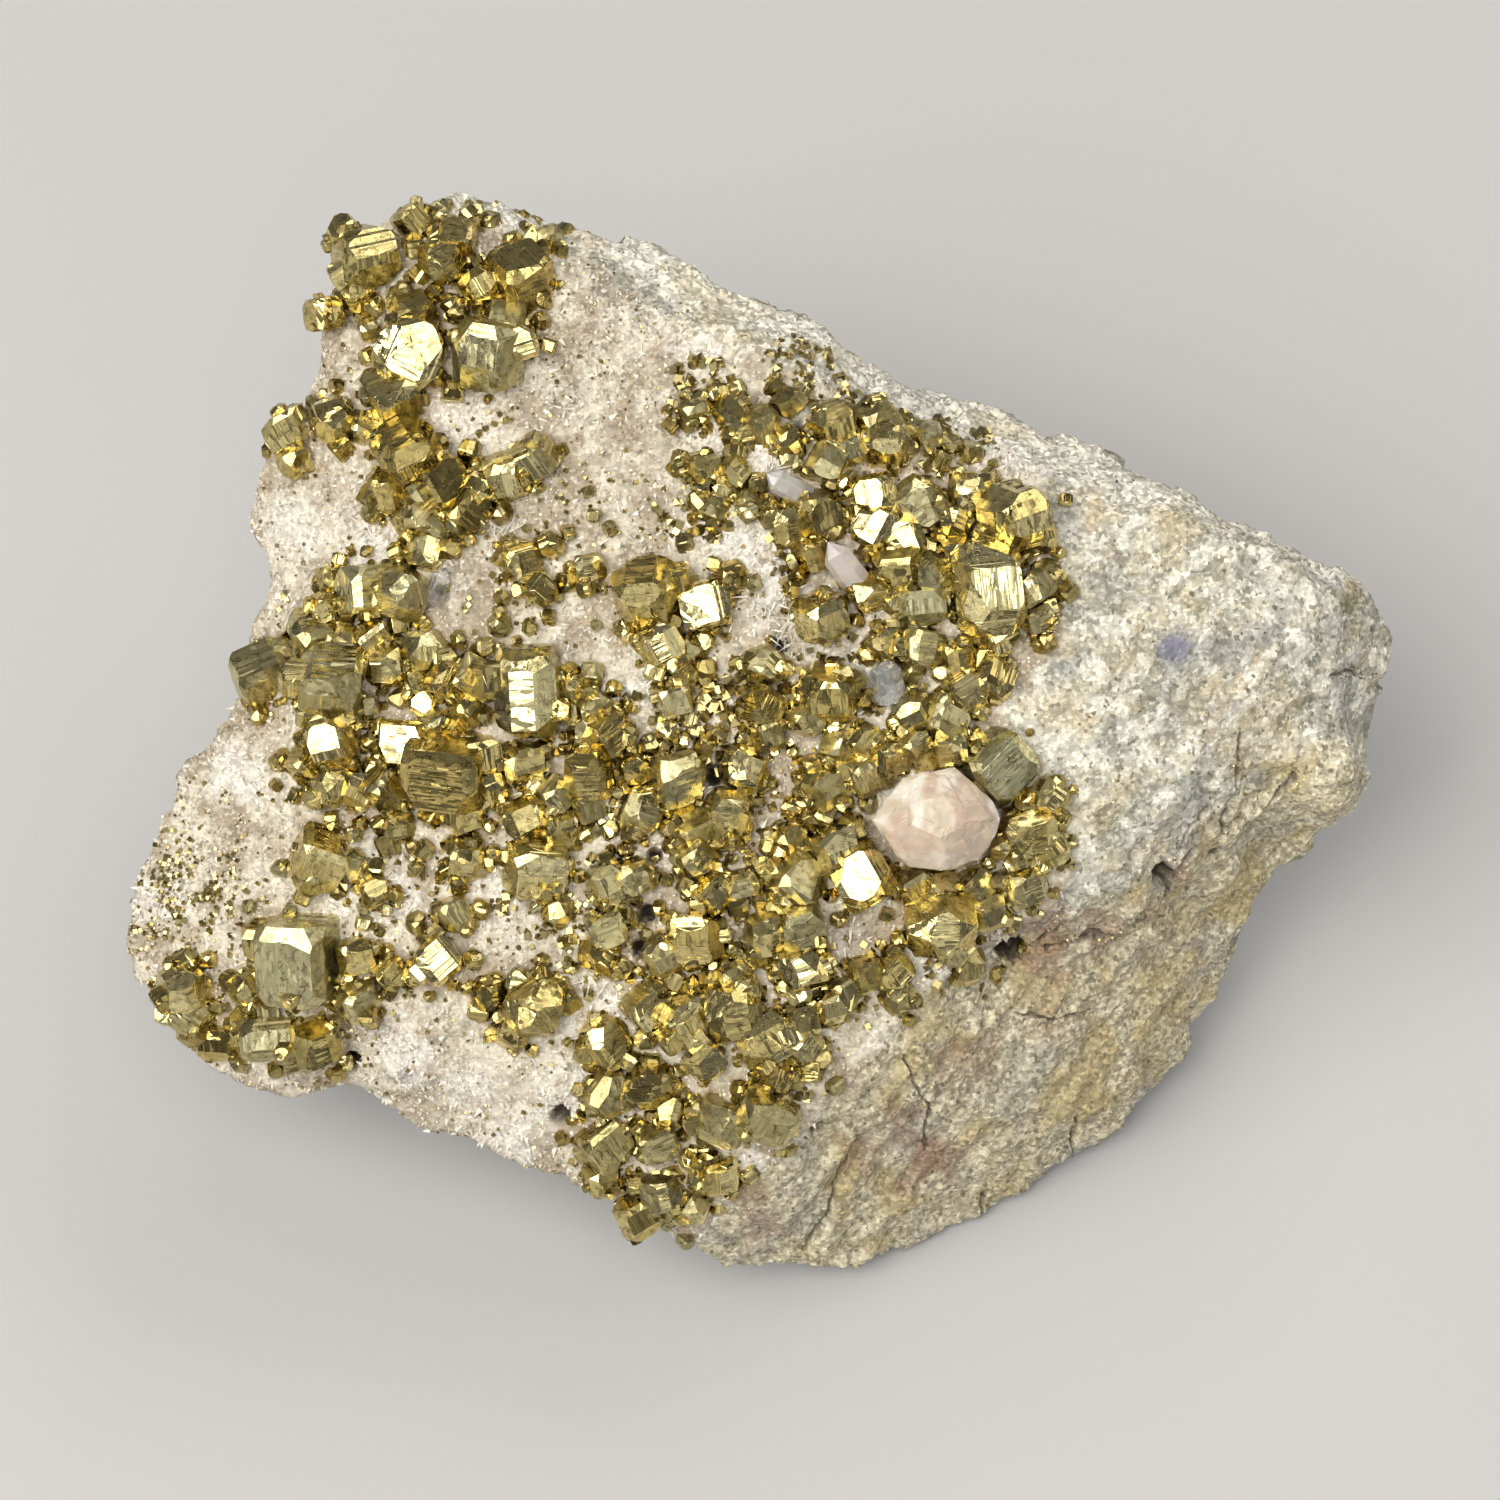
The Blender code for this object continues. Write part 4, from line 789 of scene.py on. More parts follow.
        (650, 1008, 50, "mixed", 32, 14, 36), (686, 1016, 56, "mixed", 36, 16, 30),
        (732, 1010, 62, "octahedral", 20, 6, 8), (764, 1039, 58, "mixed", 6, 10, 28),
        (735, 977, 36, "mixed", 34, 12, 16), (803, 1020, 38, "mixed", 14, 22, 8),
        (802, 1045, 40, "mixed", 30, 24, 40), (832, 1004, 36, "mixed", 22, 12, 10),
        (606, 1041, 50, "mixed", 16, 26, 34), (608, 1092, 50, "mixed", 24, 10, 50),
        (652, 1084, 54, "octahedral", 16, -18, 6), (606, 1143, 52, "cube", 20, 14, 34),
        (656, 1140, 44, "cube", 34, 12, 14), (670, 1110, 38, "mixed", 20, 10, 70),
        (719, 1119, 56, "tall", 18, 14, -34), (766, 1115, 60, "tall", 24, 20, -34),
        (660, 1190, 50, "mixed", 10, 8, 12), (602, 1178, 42, "mixed", 30, 26, 6),
        (692, 1206, 40, "mixed", 18, 20, 60), (636, 1216, 46, "mixed", 24, 14, 24),
        (716, 1174, 44, "mixed", 26, 20, 8), (705, 1060, 40, "mixed", 16, 14, 40),
        (777, 1076, 36, "mixed", 30, 20, 60),
    ],
}

# Turn of the striations in degrees and share of grey-green patina, for crystals where they show.
crystalLooks = {
    (491, 354): (90, 0.8), (505, 324): (0, 0.8), (367, 257): (90, 0.3), (412, 353): (0, 0),
    (393, 395): (90, 0), (412, 458): (90, 0), (262, 676): (90, 0.5), (332, 688): (90, 0.6),
    (530, 690): (0, 0.55), (649, 598): (90, 0), (449, 770): (0, 0), (299, 958): (90, 0.75),
    (986, 588): (90, 0.2), (1010, 520): (90, 0), (998, 766): (0, 0.9), (320, 858): (90, 0),
    (219, 1042): (90, 0), (266, 1037): (90, 0.7), (923, 606): (90, 0.8), (797, 880): (90, 0.5),
    (821, 616): (90, 0), (438, 959): (0, 0), (861, 876): (0, 0), (940, 921): (0, 0),
    (367, 588): (0, 0.8), (696, 936): (90, 0), (764, 1039): (90, 0.2), (802, 967): (0, 0),
    (705, 604): (0, 0), (535, 1006): (90, 0.2), (525, 817): (0, 0), (590, 772): (0, 0),
    (719, 1119): (90, 0.6), (766, 1115): (90, 0.6), (405, 742): (0, 0),
}

# Smaller crystals between them: x, y, width in steps.
smallCrystals = [
    (428, 214, 22), (446, 206, 18), (470, 214, 22), (490, 222, 26), (512, 240, 20), (535, 238, 24),
    (560, 250, 22), (435, 293, 22), (452, 304, 22), (370, 330, 24), (400, 298, 26), (344, 420, 22),
    (342, 448, 24), (390, 508, 14), (432, 527, 30), (455, 525, 28), (468, 540, 18), (563, 449, 12),
    (450, 549, 24), (405, 553, 14), (331, 579, 30), (320, 587, 18), (300, 624, 28), (326, 612, 30),
    (244, 634, 20), (276, 767, 12), (276, 785, 12), (308, 793, 16), (424, 704, 30), (447, 660, 26),
    (485, 793, 22), (432, 816, 25), (491, 826, 18), (405, 807, 16), (354, 834, 18), (502, 598, 18),
    (500, 611, 15), (500, 626, 28), (485, 647, 22), (426, 624, 14), (550, 545, 30), (570, 568, 16),
    (610, 528, 17), (594, 515, 15), (568, 532, 16), (588, 492, 13), (685, 543, 20), (731, 600, 18),
    (670, 647, 24), (690, 646, 30), (704, 669, 26), (718, 690, 16), (737, 663, 15), (750, 693, 14),
    (661, 717, 12), (668, 730, 28), (570, 677, 22), (571, 697, 25), (592, 675, 25), (588, 691, 16),
    (614, 689, 18), (626, 706, 15), (610, 712, 22), (616, 751, 22), (573, 810, 12), (543, 838, 12),
    (555, 846, 13), (690, 845, 24), (715, 840, 24), (735, 838, 25), (773, 783, 15), (758, 801, 17),
    (792, 751, 15), (700, 405, 30), (718, 392, 26), (748, 432, 26), (730, 438, 24), (791, 458, 22),
    (705, 485, 28), (725, 487, 28), (745, 500, 22), (759, 484, 25), (749, 512, 25), (700, 500, 24),
    (818, 540, 24), (950, 445, 28), (970, 452, 24), (940, 462, 22), (894, 469, 16), (848, 457, 22),
    (905, 450, 24), (843, 481, 22), (830, 494, 14), (840, 509, 15), (990, 479, 25), (1030, 500, 22),
    (1030, 545, 24), (1049, 608, 24), (1030, 591, 24), (1033, 632, 16), (1047, 634, 13), (868, 553, 25),
    (894, 602, 30), (898, 618, 16), (868, 655, 25), (911, 671, 26), (862, 700, 20), (848, 716, 18),
    (788, 505, 18), (795, 520, 22), (800, 545, 20), (798, 575, 20), (790, 590, 18), (923, 763, 28),
    (829, 760, 24), (800, 777, 18), (849, 784, 18), (868, 804, 22), (792, 806, 22), (825, 814, 26),
    (810, 818, 22), (775, 870, 32), (763, 900, 24), (892, 875, 22), (898, 890, 22), (965, 900, 18),
    (1041, 863, 28), (1009, 884, 25), (998, 841, 25), (1023, 947, 12), (352, 832, 16), (412, 849, 10),
    (425, 850, 20), (418, 868, 20), (440, 877, 13), (455, 877, 12), (396, 895, 20), (363, 908, 14),
    (303, 895, 20), (290, 910, 16), (380, 932, 10), (387, 950, 13), (395, 963, 15), (388, 993, 20),
    (466, 930, 16), (473, 959, 25), (253, 1004, 26), (166, 1000, 24), (205, 1015, 24), (240, 1062, 24),
    (345, 1060, 24), (558, 910, 34), (617, 970, 24), (737, 880, 18), (739, 904, 25), (732, 948, 15),
    (752, 953, 17), (822, 1006, 28), (844, 1000, 30), (590, 995, 12), (671, 1089, 20), (740, 1090, 22),
    (755, 1130, 26), (790, 1128, 20), (668, 1210, 24), (685, 1240, 20), (725, 1168, 30), (690, 1160, 24),
    (774, 1070, 25), (793, 1080, 22), (812, 1070, 25), (835, 1086, 20), (562, 1138, 14), (585, 1150, 24),
    (630, 1060, 22), (700, 1130, 22), (742, 750, 22), (705, 745, 24), (690, 720, 20), (720, 735, 22),
    (650, 745, 22), (655, 790, 22), (610, 830, 22), (625, 850, 18), (780, 850, 22), (752, 860, 18),
    (720, 870, 18),
]

# Bands where grains of a fraction of a millimetre lie close together: x, y, reach, count, smallest, largest.
grainFields = [
    (190, 835, 50, 200, 2, 6), (160, 900, 50, 220, 2, 7), (190, 945, 56, 200, 2, 6),
    (230, 915, 34, 60, 3, 7), (720, 725, 46, 110, 7, 16), (690, 700, 36, 60, 6, 13),
    (755, 690, 34, 50, 6, 13), (790, 365, 26, 70, 3, 8), (812, 392, 40, 110, 4, 10),
    (700, 396, 34, 60, 5, 12), (795, 545, 34, 70, 5, 12), (600, 520, 60, 90, 2, 6),
    (590, 330, 90, 150, 1.5, 3.5), (545, 920, 42, 90, 3, 9), (480, 905, 44, 60, 3, 8),
    (640, 985, 40, 50, 3, 8), (505, 234, 46, 60, 4, 11), (958, 452, 34, 50, 5, 12),
    (1035, 600, 24, 40, 5, 12), (964, 965, 34, 50, 4, 11), (440, 900, 60, 60, 3, 8),
    (380, 985, 36, 50, 4, 10), (330, 620, 50, 50, 3, 8), (500, 620, 40, 40, 3, 8),
    (650, 760, 60, 90, 5, 13), (760, 800, 60, 70, 4, 12), (860, 650, 60, 60, 4, 12),
    (900, 520, 60, 50, 4, 10), (740, 1000, 70, 60, 4, 12), (640, 1110, 60, 60, 5, 13),
    (800, 1060, 40, 50, 4, 12), (300, 1000, 80, 50, 3, 9), (450, 1050, 90, 60, 2, 6),
    (1000, 840, 50, 50, 4, 12), (480, 480, 60, 40, 3, 8), (380, 380, 60, 30, 2, 7),
    (600, 860, 50, 60, 4, 10), (700, 500, 40, 60, 5, 12), (730, 880, 40, 50, 4, 10),
    (820, 990, 60, 50, 4, 10),
]

crystalForms = {
    "edgeOfWidth": 0.88,
    "fillerEdgeOfWidth": 0.84,
    "lift": 0.16,
    "fillerLift": 0.22,
    # Each habit: stretch, how far out the octahedron lies, least and most share of the pyritohedron.
    "habits": {"cube": ((1, 1, 1), 2.45, 0.84, 0.97), "mixed": ((1, 1.06, 0.96), 2.15, 0.76, 0.93),
               "pyrito": ((1, 1, 1), 2.15, 0.71, 0.84), "tall": ((0.86, 1.22, 0.9), 2.15, 0.76, 0.90),
               "long": ((1.2, 0.88, 0.95), 2.2, 0.78, 0.88), "slab": ((0.86, 1.22, 0.9), 2.15, 0.76, 0.90),
               "octahedral": ((1, 1, 1), 1.75, 0.80, 0.95)},
    "facets": 11,
    "ridgeSpacing": 0.17 * mm,
    "ridgeHeight": 0.017 * mm,
    "ridgeOfHabit": {"long": 2.4, "slab": 0.4},
    "crazing": 0.010 * mm,
    "leastRidged": 0.6 * mm * mm,
    "leastCrazed": 0.5 * mm * mm,
    "alwaysStriated": 2.8 * mm,
    "broadStreaks": 3.9 * mm,
    "roughest": 0.32,
    "smoothest": 0.09,
    "patinaRough": 0.16,
    "patinas": (0, 0, 0.15, 0.3, 0.6),
    "smallEdge": 1.3 * mm,
    "tones": (0.3, 0.9),
    "smallTones": (0.1, 0.65),
    # Fillers round each crystal: few, or many from a width on, and their sizes in steps.
    "few": 4,
    "many": 6,
    "manyFrom": 44,
    "leastFiller": 8,
    "fillerSpread": 17,
    "fillerDetail": 14,
    "withSatellites": 36,
    "satellites": (3, 4, 5, 6),
    "satelliteShares": (0.18, 0.24, 0.3, 0.4, 0.5),
}
octahedronNormals = [Vector((x, y, z)).normalized() for x in (-1, 1) for y in (-1, 1) for z in (-1, 1)]
pyritohedronNormals = []
for a in (-1, 1):
    for b in (-1, 1):
        pyritohedronNormals += [Vector((2 * a, b, 0)), Vector((0, 2 * a, b)), Vector((b, 0, 2 * a))]


def cutAway(bm, kind, normal, distance, number):
    # Cuts the solid with a plane and closes it with one new face of the given kind.
    cut = bmesh.ops.bisect_plane(
        bm, geom=bm.verts[:] + bm.edges[:] + bm.faces[:], dist=1e-6,
        plane_co=normal * distance, plane_no=normal, clear_outer=True,
    )
    rim = [part for part in cut["geom_cut"] if isinstance(part, bmesh.types.BMEdge)]
    if len(rim) < 3:
        return
    made = bmesh.ops.contextual_create(bm, geom=rim)["faces"]
    for face in made:
        face[kind] = number


def ridgeFace(bm, face, across, spacing, height, rng):
    # Cuts one face into strips, side by side in this direction, and shifts each cut in or out.
    normal = face.normal.copy()
    faces = [face]
    reach = [v.co.dot(across) for v in face.verts]
    place = min(reach) + spacing * rng.uniform(0.4, 1.2)
    shifts = []
    while place < max(reach) - spacing * 0.3:
        geom = set(faces)
        for part in faces:
            geom.update(part.edges)
            geom.update(part.verts)
        at = across * place
        cut = bmesh.ops.bisect_plane(bm, geom=list(geom), dist=1e-9, plane_co=at, plane_no=across)
        faces = [part for part in cut["geom"] if isinstance(part, bmesh.types.BMFace)]
        verts = [part for part in cut["geom_cut"] if isinstance(part, bmesh.types.BMVert)]
        shifts.append((verts, normal * height * rng.uniform(-1, 1)))
        place += spacing * rng.choice((0.35, 0.7, 1.0, 1.6, 2.4))
    for verts, shift in shifts:
        for vert in verts:
            vert.co += shift
    return faces


def crystalBody(edge, habit, rng, detail):
    # A cube cut by the octahedron and, where there is detail, by the pyritohedron and small facets.
    stretch, cornerOut, least, most = crystalForms["habits"][habit]
    bm = bmesh.new()
    kind = bm.faces.layers.int.new("kind")
    bmesh.ops.create_cube(bm, size=2)
    bm.normal_update()
    for face in bm.faces:
        face[kind] = max(range(3), key=lambda axis: abs(face.normal[axis]))
    for normal in octahedronNormals:
        spread = rng.uniform(0.94, 1.05) if edge > 3.3 * mm else rng.triangular(0.86, 1.3, 1.0)
        cutAway(bm, kind, normal, cornerOut / math.sqrt(3) * spread, 3)
    if detail:
        for normal in pyritohedronNormals:
            axis = min(range(3), key=lambda i: abs(normal[i]))
            cutAway(bm, kind, normal.normalized(), 3 / math.sqrt(5) * rng.uniform(least, most), 4 + axis)
    size = Vector(stretch) * edge / 2
    size = Vector([side * rng.uniform(0.92, 1.08) for side in size])
    bmesh.ops.scale(bm, vec=size, verts=bm.verts)
    if detail:
        # Small facets off the rims, so the outline is knobbly.
        for i in range(crystalForms["facets"]):
            out = Vector((rng.gauss(0, 1), rng.gauss(0, 1), rng.gauss(0, 1))).normalized()
            reach = max(v.co.dot(out) for v in bm.verts)
            cutAway(bm, kind, out, reach * rng.uniform(0.87, 0.96), 3)
    bm.normal_update()
    return bm, kind


def striationAxes(number, normal):
    # Direction of the striations on a face of this kind, and the direction across them.
    if number == 3:
        along = normal.orthogonal().normalized()
    else:
        along = Vector((0, 0, 0))
        along[(number + 1) % 3 if number < 3 else number - 4] = 1.0
    return along, normal.cross(along).normalized()


def newHeap():
    return {"verts": [], "faces": [], "tone": [], "patina": [], "rough": [], "hackle": [], "grainAt": []}


def ridgeCrystal(bm, kind, edge, habit, striated, spacing, rng):
    # Striations on the cube and pyritohedron faces, and a little crazing on the large octahedron faces.
    base = crystalForms["ridgeHeight"]
    for face in [f for f in bm.faces if f[kind] < 3]:
        along, across = striationAxes(face[kind], face.normal)
        share = rng.uniform(0.9, 1.9) if striated else rng.uniform(0.2, 0.7)
        height = base * crystalForms["ridgeOfHabit"].get(habit, share)
        strips = ridgeFace(bm, face, across, spacing, height, rng)
        if edge > 2.4 * mm:
            for strip in strips:
                if strip.is_valid and rng.random() < 0.5:
                    ridgeFace(bm, strip, along, edge * 0.3, height * 0.8, rng)
    for face in [f for f in bm.faces if f[kind] > 3 and f.calc_area() > crystalForms["leastRidged"]]:
        along, across = striationAxes(face[kind], face.normal)
        ridgeFace(bm, face, across, spacing * 1.3, base * 0.7, rng)
    crazing = crystalForms["crazing"]
    for face in [f for f in bm.faces if f[kind] == 3 and f.calc_area() > crystalForms["leastCrazed"]]:
        along, across = striationAxes(3, face.normal)
        for strip in ridgeFace(bm, face, across, edge * 0.16, crazing, rng):
            if strip.is_valid:
                ridgeFace(bm, strip, along, edge * 0.2, crazing, rng)


def faceLook(streaked, edge, habit, glossAndHighlight, rng):
    # One face's tone, roughness share, place in the noise, scales across and along its streaks, and hackle.
    if streaked:
        scales = (rng.uniform(5, 9), rng.uniform(0.5, 1.3))
        if edge > crystalForms["broadStreaks"]:
            scales = (rng.uniform(3, 6), rng.uniform(0.9, 1.8))
        slope = rng.uniform(0.2, 0.5)
        if habit == "long":
            scales, slope = (7.0, 0.4), 0.45
    else:
        scales = (rng.uniform(2.0, 4.5), rng.uniform(1.6, 3.2))
        slope = rng.choice((0.03, 0.06, 0.1, 0.2, 0.4 if edge < 2.6 * mm else 0.14))
        if glossAndHighlight == 1.0:
            slope = 0.04
    return rng.uniform(-0.25, 0.25), rng.random(), rng.uniform(0, 90), scales, slope / scales[0]


def heapCrystal(heap, edge, habit, turn, place, seed, detail, glossAndHighlight=0.5, patina=None):
    # Adds one crystal to a heap that becomes one mesh.
    rng = random.Random(seed)
    if habit == "mixed" and rng.random() < 0.45:
        habit = "pyrito"
    bm, kind = crystalBody(edge, habit, rng, detail)
    striated = (rng.random() < 0.6 or edge > crystalForms["alwaysStriated"]) and glossAndHighlight < 1
    spacing = crystalForms["ridgeSpacing"] * rng.uniform(0.7, 1.6)
    if detail:
        ridgeCrystal(bm, kind, edge, habit, striated, spacing, rng)
    bmesh.ops.triangulate(bm, faces=bm.faces)
    bm.normal_update()
    bm.verts.index_update()
    base = len(heap["verts"])
    crystalTone = rng.uniform(*crystalForms["tones" if edge > crystalForms["smallEdge"] else "smallTones"])
    if patina is None:
        patina = rng.choice(crystalForms["patinas"])
    span = crystalForms["roughest"] - crystalForms["smoothest"]
    looks = {}
    for face in bm.faces:
        number = face[kind]
        key = (number, *(round(part * 1.5) for part in face.normal))
        if key not in looks:
            looks[key] = faceLook(striated and number < 3, edge, habit, glossAndHighlight, rng)
        tone, rough, apart, scales, hackle = looks[key]
        along, across = striationAxes(number, face.normal)
        heap["faces"].append([base + v.index for v in face.verts])
        # Crystals square to the viewer get a lighter tone: painted highlight.
        heap["tone"].append(min(1, max(0, crystalTone + tone + 0.3 * (glossAndHighlight - 0.5))))
        heap["patina"].append(min(1, patina * (0.6 + 1.6 * abs(tone))))
        roughness = crystalForms["smoothest"] + span * rough * (1.4 - glossAndHighlight)
        heap["rough"].append(roughness + crystalForms["patinaRough"] * patina)
        heap["hackle"].append(hackle)
        for vert in face.verts:
            at = (scales[0] * vert.co.dot(across) / mm, scales[1] * vert.co.dot(along) / mm, apart)
            heap["grainAt"].append(at)
    for vert in bm.verts:
        heap["verts"].append(place + sightAxes @ (turn @ vert.co))
    bm.free()


def crystalTurn(lean, swing, roll, spin=0):
    # The turn, in the axes of sight, that the angles in degrees make together.
    turn = Matrix.Rotation(math.radians(roll), 3, "Z")
    turn = turn @ Matrix.Rotation(math.radians(lean), 3, "X")
    turn = turn @ Matrix.Rotation(math.radians(swing), 3, "Y")
    return turn @ Matrix.Rotation(math.radians(spin), 3, "Z")


def heapMesh(name, heap):
    mesh = bpy.data.meshes.new(name)
    mesh.from_pydata([tuple(v) for v in heap["verts"]], [], heap["faces"])
    setAttribute(mesh, "tone", "FLOAT", "FACE", heap["tone"])
    for label in ("rough", "patina", "hackle"):
        if heap[label]:
            setAttribute(mesh, label, "FLOAT", "FACE", heap[label])
    if heap["grainAt"]:
        setAttribute(mesh, "grainAt", "FLOAT_VECTOR", "CORNER", heap["grainAt"])
    return mesh


pyriteNodes = sorted(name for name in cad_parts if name.startswith("pyrite"))
nodeTrees = {}
for name in pyriteNodes:
    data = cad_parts[name].data
    corners = [v.co.copy() for v in data.vertices]
    nodeTrees[name] = BVHTree.FromPolygons(corners, [list(p.vertices) for p in data.polygons])


def nearestNode(place):
    # The group of crystals that a crystal at this place belongs to.
    return min(pyriteNodes, key=lambda name: nodeTrees[name].find_nearest(place)[3])


def satellites(heap, edge, turn, place, seed):
    # Smaller crystals grown out of the sides of a big one.
    rng = random.Random(seed)
    for i in range(rng.choice(crystalForms["satellites"])):
        angle = rng.uniform(0, 2 * math.pi)
        out = Vector((math.cos(angle), math.sin(angle), rng.uniform(-0.3, 0.5)))
        share = rng.choice(crystalForms["satelliteShares"])
        twist = Matrix.Rotation(rng.choice((0, 0.5 * math.pi)) + rng.uniform(-0.3, 0.3), 3, out)
        at = place + sightAxes @ (out * edge * rng.uniform(0.42, 0.55))
        habit = rng.choice(("cube", "mixed", "mixed", "octahedral"))
        heapCrystal(heap, edge * share, habit, twist @ turn, at, seed * 31 + i, edge * share > 0.7 * mm)


def glossAndHighlightOf(lean, swing):
    # Faces nearly square to the viewer are the smoothest, and their tone is lightened as a painted
    # highlight.
    if lean + abs(swing) < 3:
        return 1.0
    return 0.95 if lean < 10 and abs(swing) < 12 else 0.5


def placeCrystals(heaps):
    # The crystals placed one by one, with satellites on the larger ones. Returns x, y and width of each.
    count = 0
    places = []
    for numbers in crystals.values():
        for x, y, width, habit, lean, swing, roll in numbers:
            hit, _ = surfaceUnder(x, y)
            if hit is None:
                hit = sightPoint(x, y, -5 * mm)
            edge = width * sight["step"] * crystalForms["edgeOfWidth"]
            place = hit + sightOut * edge * crystalForms["lift"]
            count += 1
            spin, patina = crystalLooks.get((x, y), (90 * (count % 2), None))
            turn = crystalTurn(lean, swing, roll, spin)
            heap = heaps[nearestNode(place)]
            heapCrystal(heap, edge, habit, turn, place, count, True, glossAndHighlightOf(lean, swing), patina)
            if width >= crystalForms["withSatellites"]:
                satellites(heap, edge, turn, place, count)
            places.append((x, y, width))
    return places


def placeFillers(heaps, places):
    # The smaller crystals between them and around each of them.
    rng = random.Random(7)
    count = len(places)
    extra = list(smallCrystals)
    for x, y, width in places:
        for i in range(crystalForms["few" if width < crystalForms["manyFrom"] else "many"]):
            angle = rng.uniform(0, 2 * math.pi)
            reach = width * rng.uniform(0.45, 0.8)
            size = crystalForms["leastFiller"] + crystalForms["fillerSpread"] * rng.random() ** 1.5
            extra.append((x + math.cos(angle) * reach, y + math.sin(angle) * reach, size))
    for x, y, width in extra:
        hit, _ = surfaceUnder(x, y)
        if hit is None:
            continue
        edge = width * sight["step"] * crystalForms["fillerEdgeOfWidth"]
        place = hit + sightOut * edge * crystalForms["fillerLift"]
        turn = crystalTurn(rng.uniform(-10, 60), rng.uniform(-30, 50), rng.uniform(0, 90))
        count += 1
        habit = rng.choice(("cube", "mixed", "mixed", "octahedral"))
        detail = width > crystalForms["fillerDetail"]
        heapCrystal(heaps[nearestNode(place)], edge, habit, turn, place, count, detail)
    return count


def makePyrite():
    heaps = {name: newHeap() for name in pyriteNodes}
    fillHeaps = {name: newHeap() for name in pyriteNodes}
    count = placeFillers(fillHeaps, placeCrystals(heaps))
    material = pyriteMaterial()
    for name in pyriteNodes:
        for title, heap in (("crystals", heaps[name]), ("small_crystals", fillHeaps[name])):
            if heap["faces"]:
                piece = name.replace("pyrite", title)
                addPiece(piece, heapMesh(piece, heap), material, [name])
    triangles = sum(len(heap["faces"]) for heap in [*heaps.values(), *fillHeaps.values()])
    print("pyrite crystals", count, "besides satellites, triangles", triangles)


def pyramids(rng, places, normals, sizes, sides, lengths, spread):
    # Many small pointed crystals at once: sides triangles each, standing on the places given.
    count = len(places)
    tilt = rng.normal(size=(count, 3)) * spread
    up = normals + tilt
    up /= np.linalg.norm(up, axis=1)[:, None]
    other = rng.normal(size=(count, 3))
    right = np.cross(up, other)
    right /= np.linalg.norm(right, axis=1)[:, None]
    ahead = np.cross(up, right)
    verts = np.zeros((count, sides + 1, 3))
    foot = places - up * (sizes * 0.35)[:, None]
    for i in range(sides):
        angle = 2 * math.pi * i / sides
        ring = right * math.cos(angle) + ahead * math.sin(angle)
        verts[:, i] = foot + ring * (sizes * 0.5)[:, None]
    verts[:, sides] = foot + up * (sizes * lengths)[:, None]
    faces = []
    for k in range(count):
        start = k * (sides + 1)
        faces += [(start + i, start + (i + 1) % sides, start + sides) for i in range(sides)]
    return verts.reshape(-1, 3), faces


def makeDruse():
    druse = {"count": 15000, "small": 0.13 * mm, "large": 0.42 * mm, "sides": 6}
    count, sides = druse["count"], druse["sides"]
    rng = np.random.default_rng(11)
    chance = np.clip(rockSkin["druse"] * rockFacing * (1 - rockSkin["pitShade"]), 0, 1) ** 1.5
    chance *= 0.6 + 0.8 * rockSkin["pale"]
    chosen = rng.choice(len(rockPlaces), count, replace=False, p=chance / chance.sum())
    sizes = druse["small"] + (druse["large"] - druse["small"]) * rng.random(count) ** 2.2
    lengths = rng.uniform(0.7, 1.5, count)
    verts, faces = pyramids(rng, rockPlaces[chosen], rockNormals[chosen], sizes, sides, lengths, 0.5)
    mesh = bpy.data.meshes.new("druse")
    mesh.from_pydata(verts.tolist(), [], faces)
    # Points are lighter where the pale mask is, which holds the painted light on the top strip.
    tone = np.clip(rng.normal(0.55, 0.25, count) + 0.35 * rockSkin["pale"][chosen], 0, 1)
    setAttribute(mesh, "tone", "FLOAT", "FACE", np.repeat(tone, sides))
    addPiece("druse_points", mesh, druseMaterial())
    print("druse points", count, "triangles", len(faces))


def makeNeedles():
    # Tufts and slivers of white quartz: x, y, reach, count, longest in steps.
    tufts = [(505, 535, 20, 26, 26), (790, 628, 30, 60, 30), (740, 590, 40, 60, 22), (291, 893, 12, 8, 22),
             (492, 872, 16, 12, 22), (765, 462, 24, 30, 18), (440, 575, 30, 18, 20), (620, 360, 40, 14, 16),
             (640, 520, 40, 14, 20), (560, 640, 40, 16, 18), (600, 985, 40, 40, 20), (400, 900, 40, 24, 20),
             (560, 1060, 40, 24, 18), (870, 640, 40, 16, 18), (380, 540, 40, 20, 16),
             (300, 860, 24, 12, 18), (640, 690, 30, 24, 16), (560, 405, 40, 14, 16), (930, 965, 20, 16, 16),
             (850, 935, 30, 14, 18)]
    rng = np.random.default_rng(5)
    places, normals, sizes, lengths = [], [], [], []
    for x, y, reach, count, longest in tufts:
        for i in range(count):
            hit, normal = surfaceUnder(x + rng.normal() * reach * 0.5, y + rng.normal() * reach * 0.5)
            if hit is None:
                continue
            places.append(hit)
            normals.append(normal)
            sizes.append(rng.uniform(2.0, 4.2) * sight["step"])
            lengths.append(longest * rng.uniform(0.4, 1.0) * sight["step"] / sizes[-1])
    places, normals, sizes, lengths = (np.array(each) for each in (places, normals, sizes, lengths))
    verts, faces = pyramids(rng, places, normals, sizes, 5, lengths, 0.75)
    mesh = bpy.data.meshes.new("needles")
    mesh.from_pydata(verts.tolist(), [], faces)
    setAttribute(mesh, "tone", "FLOAT", "FACE", np.full(len(faces), 0.9))
    addPiece("quartz_needles", mesh, druseMaterial())
    print("quartz needles", len(places))


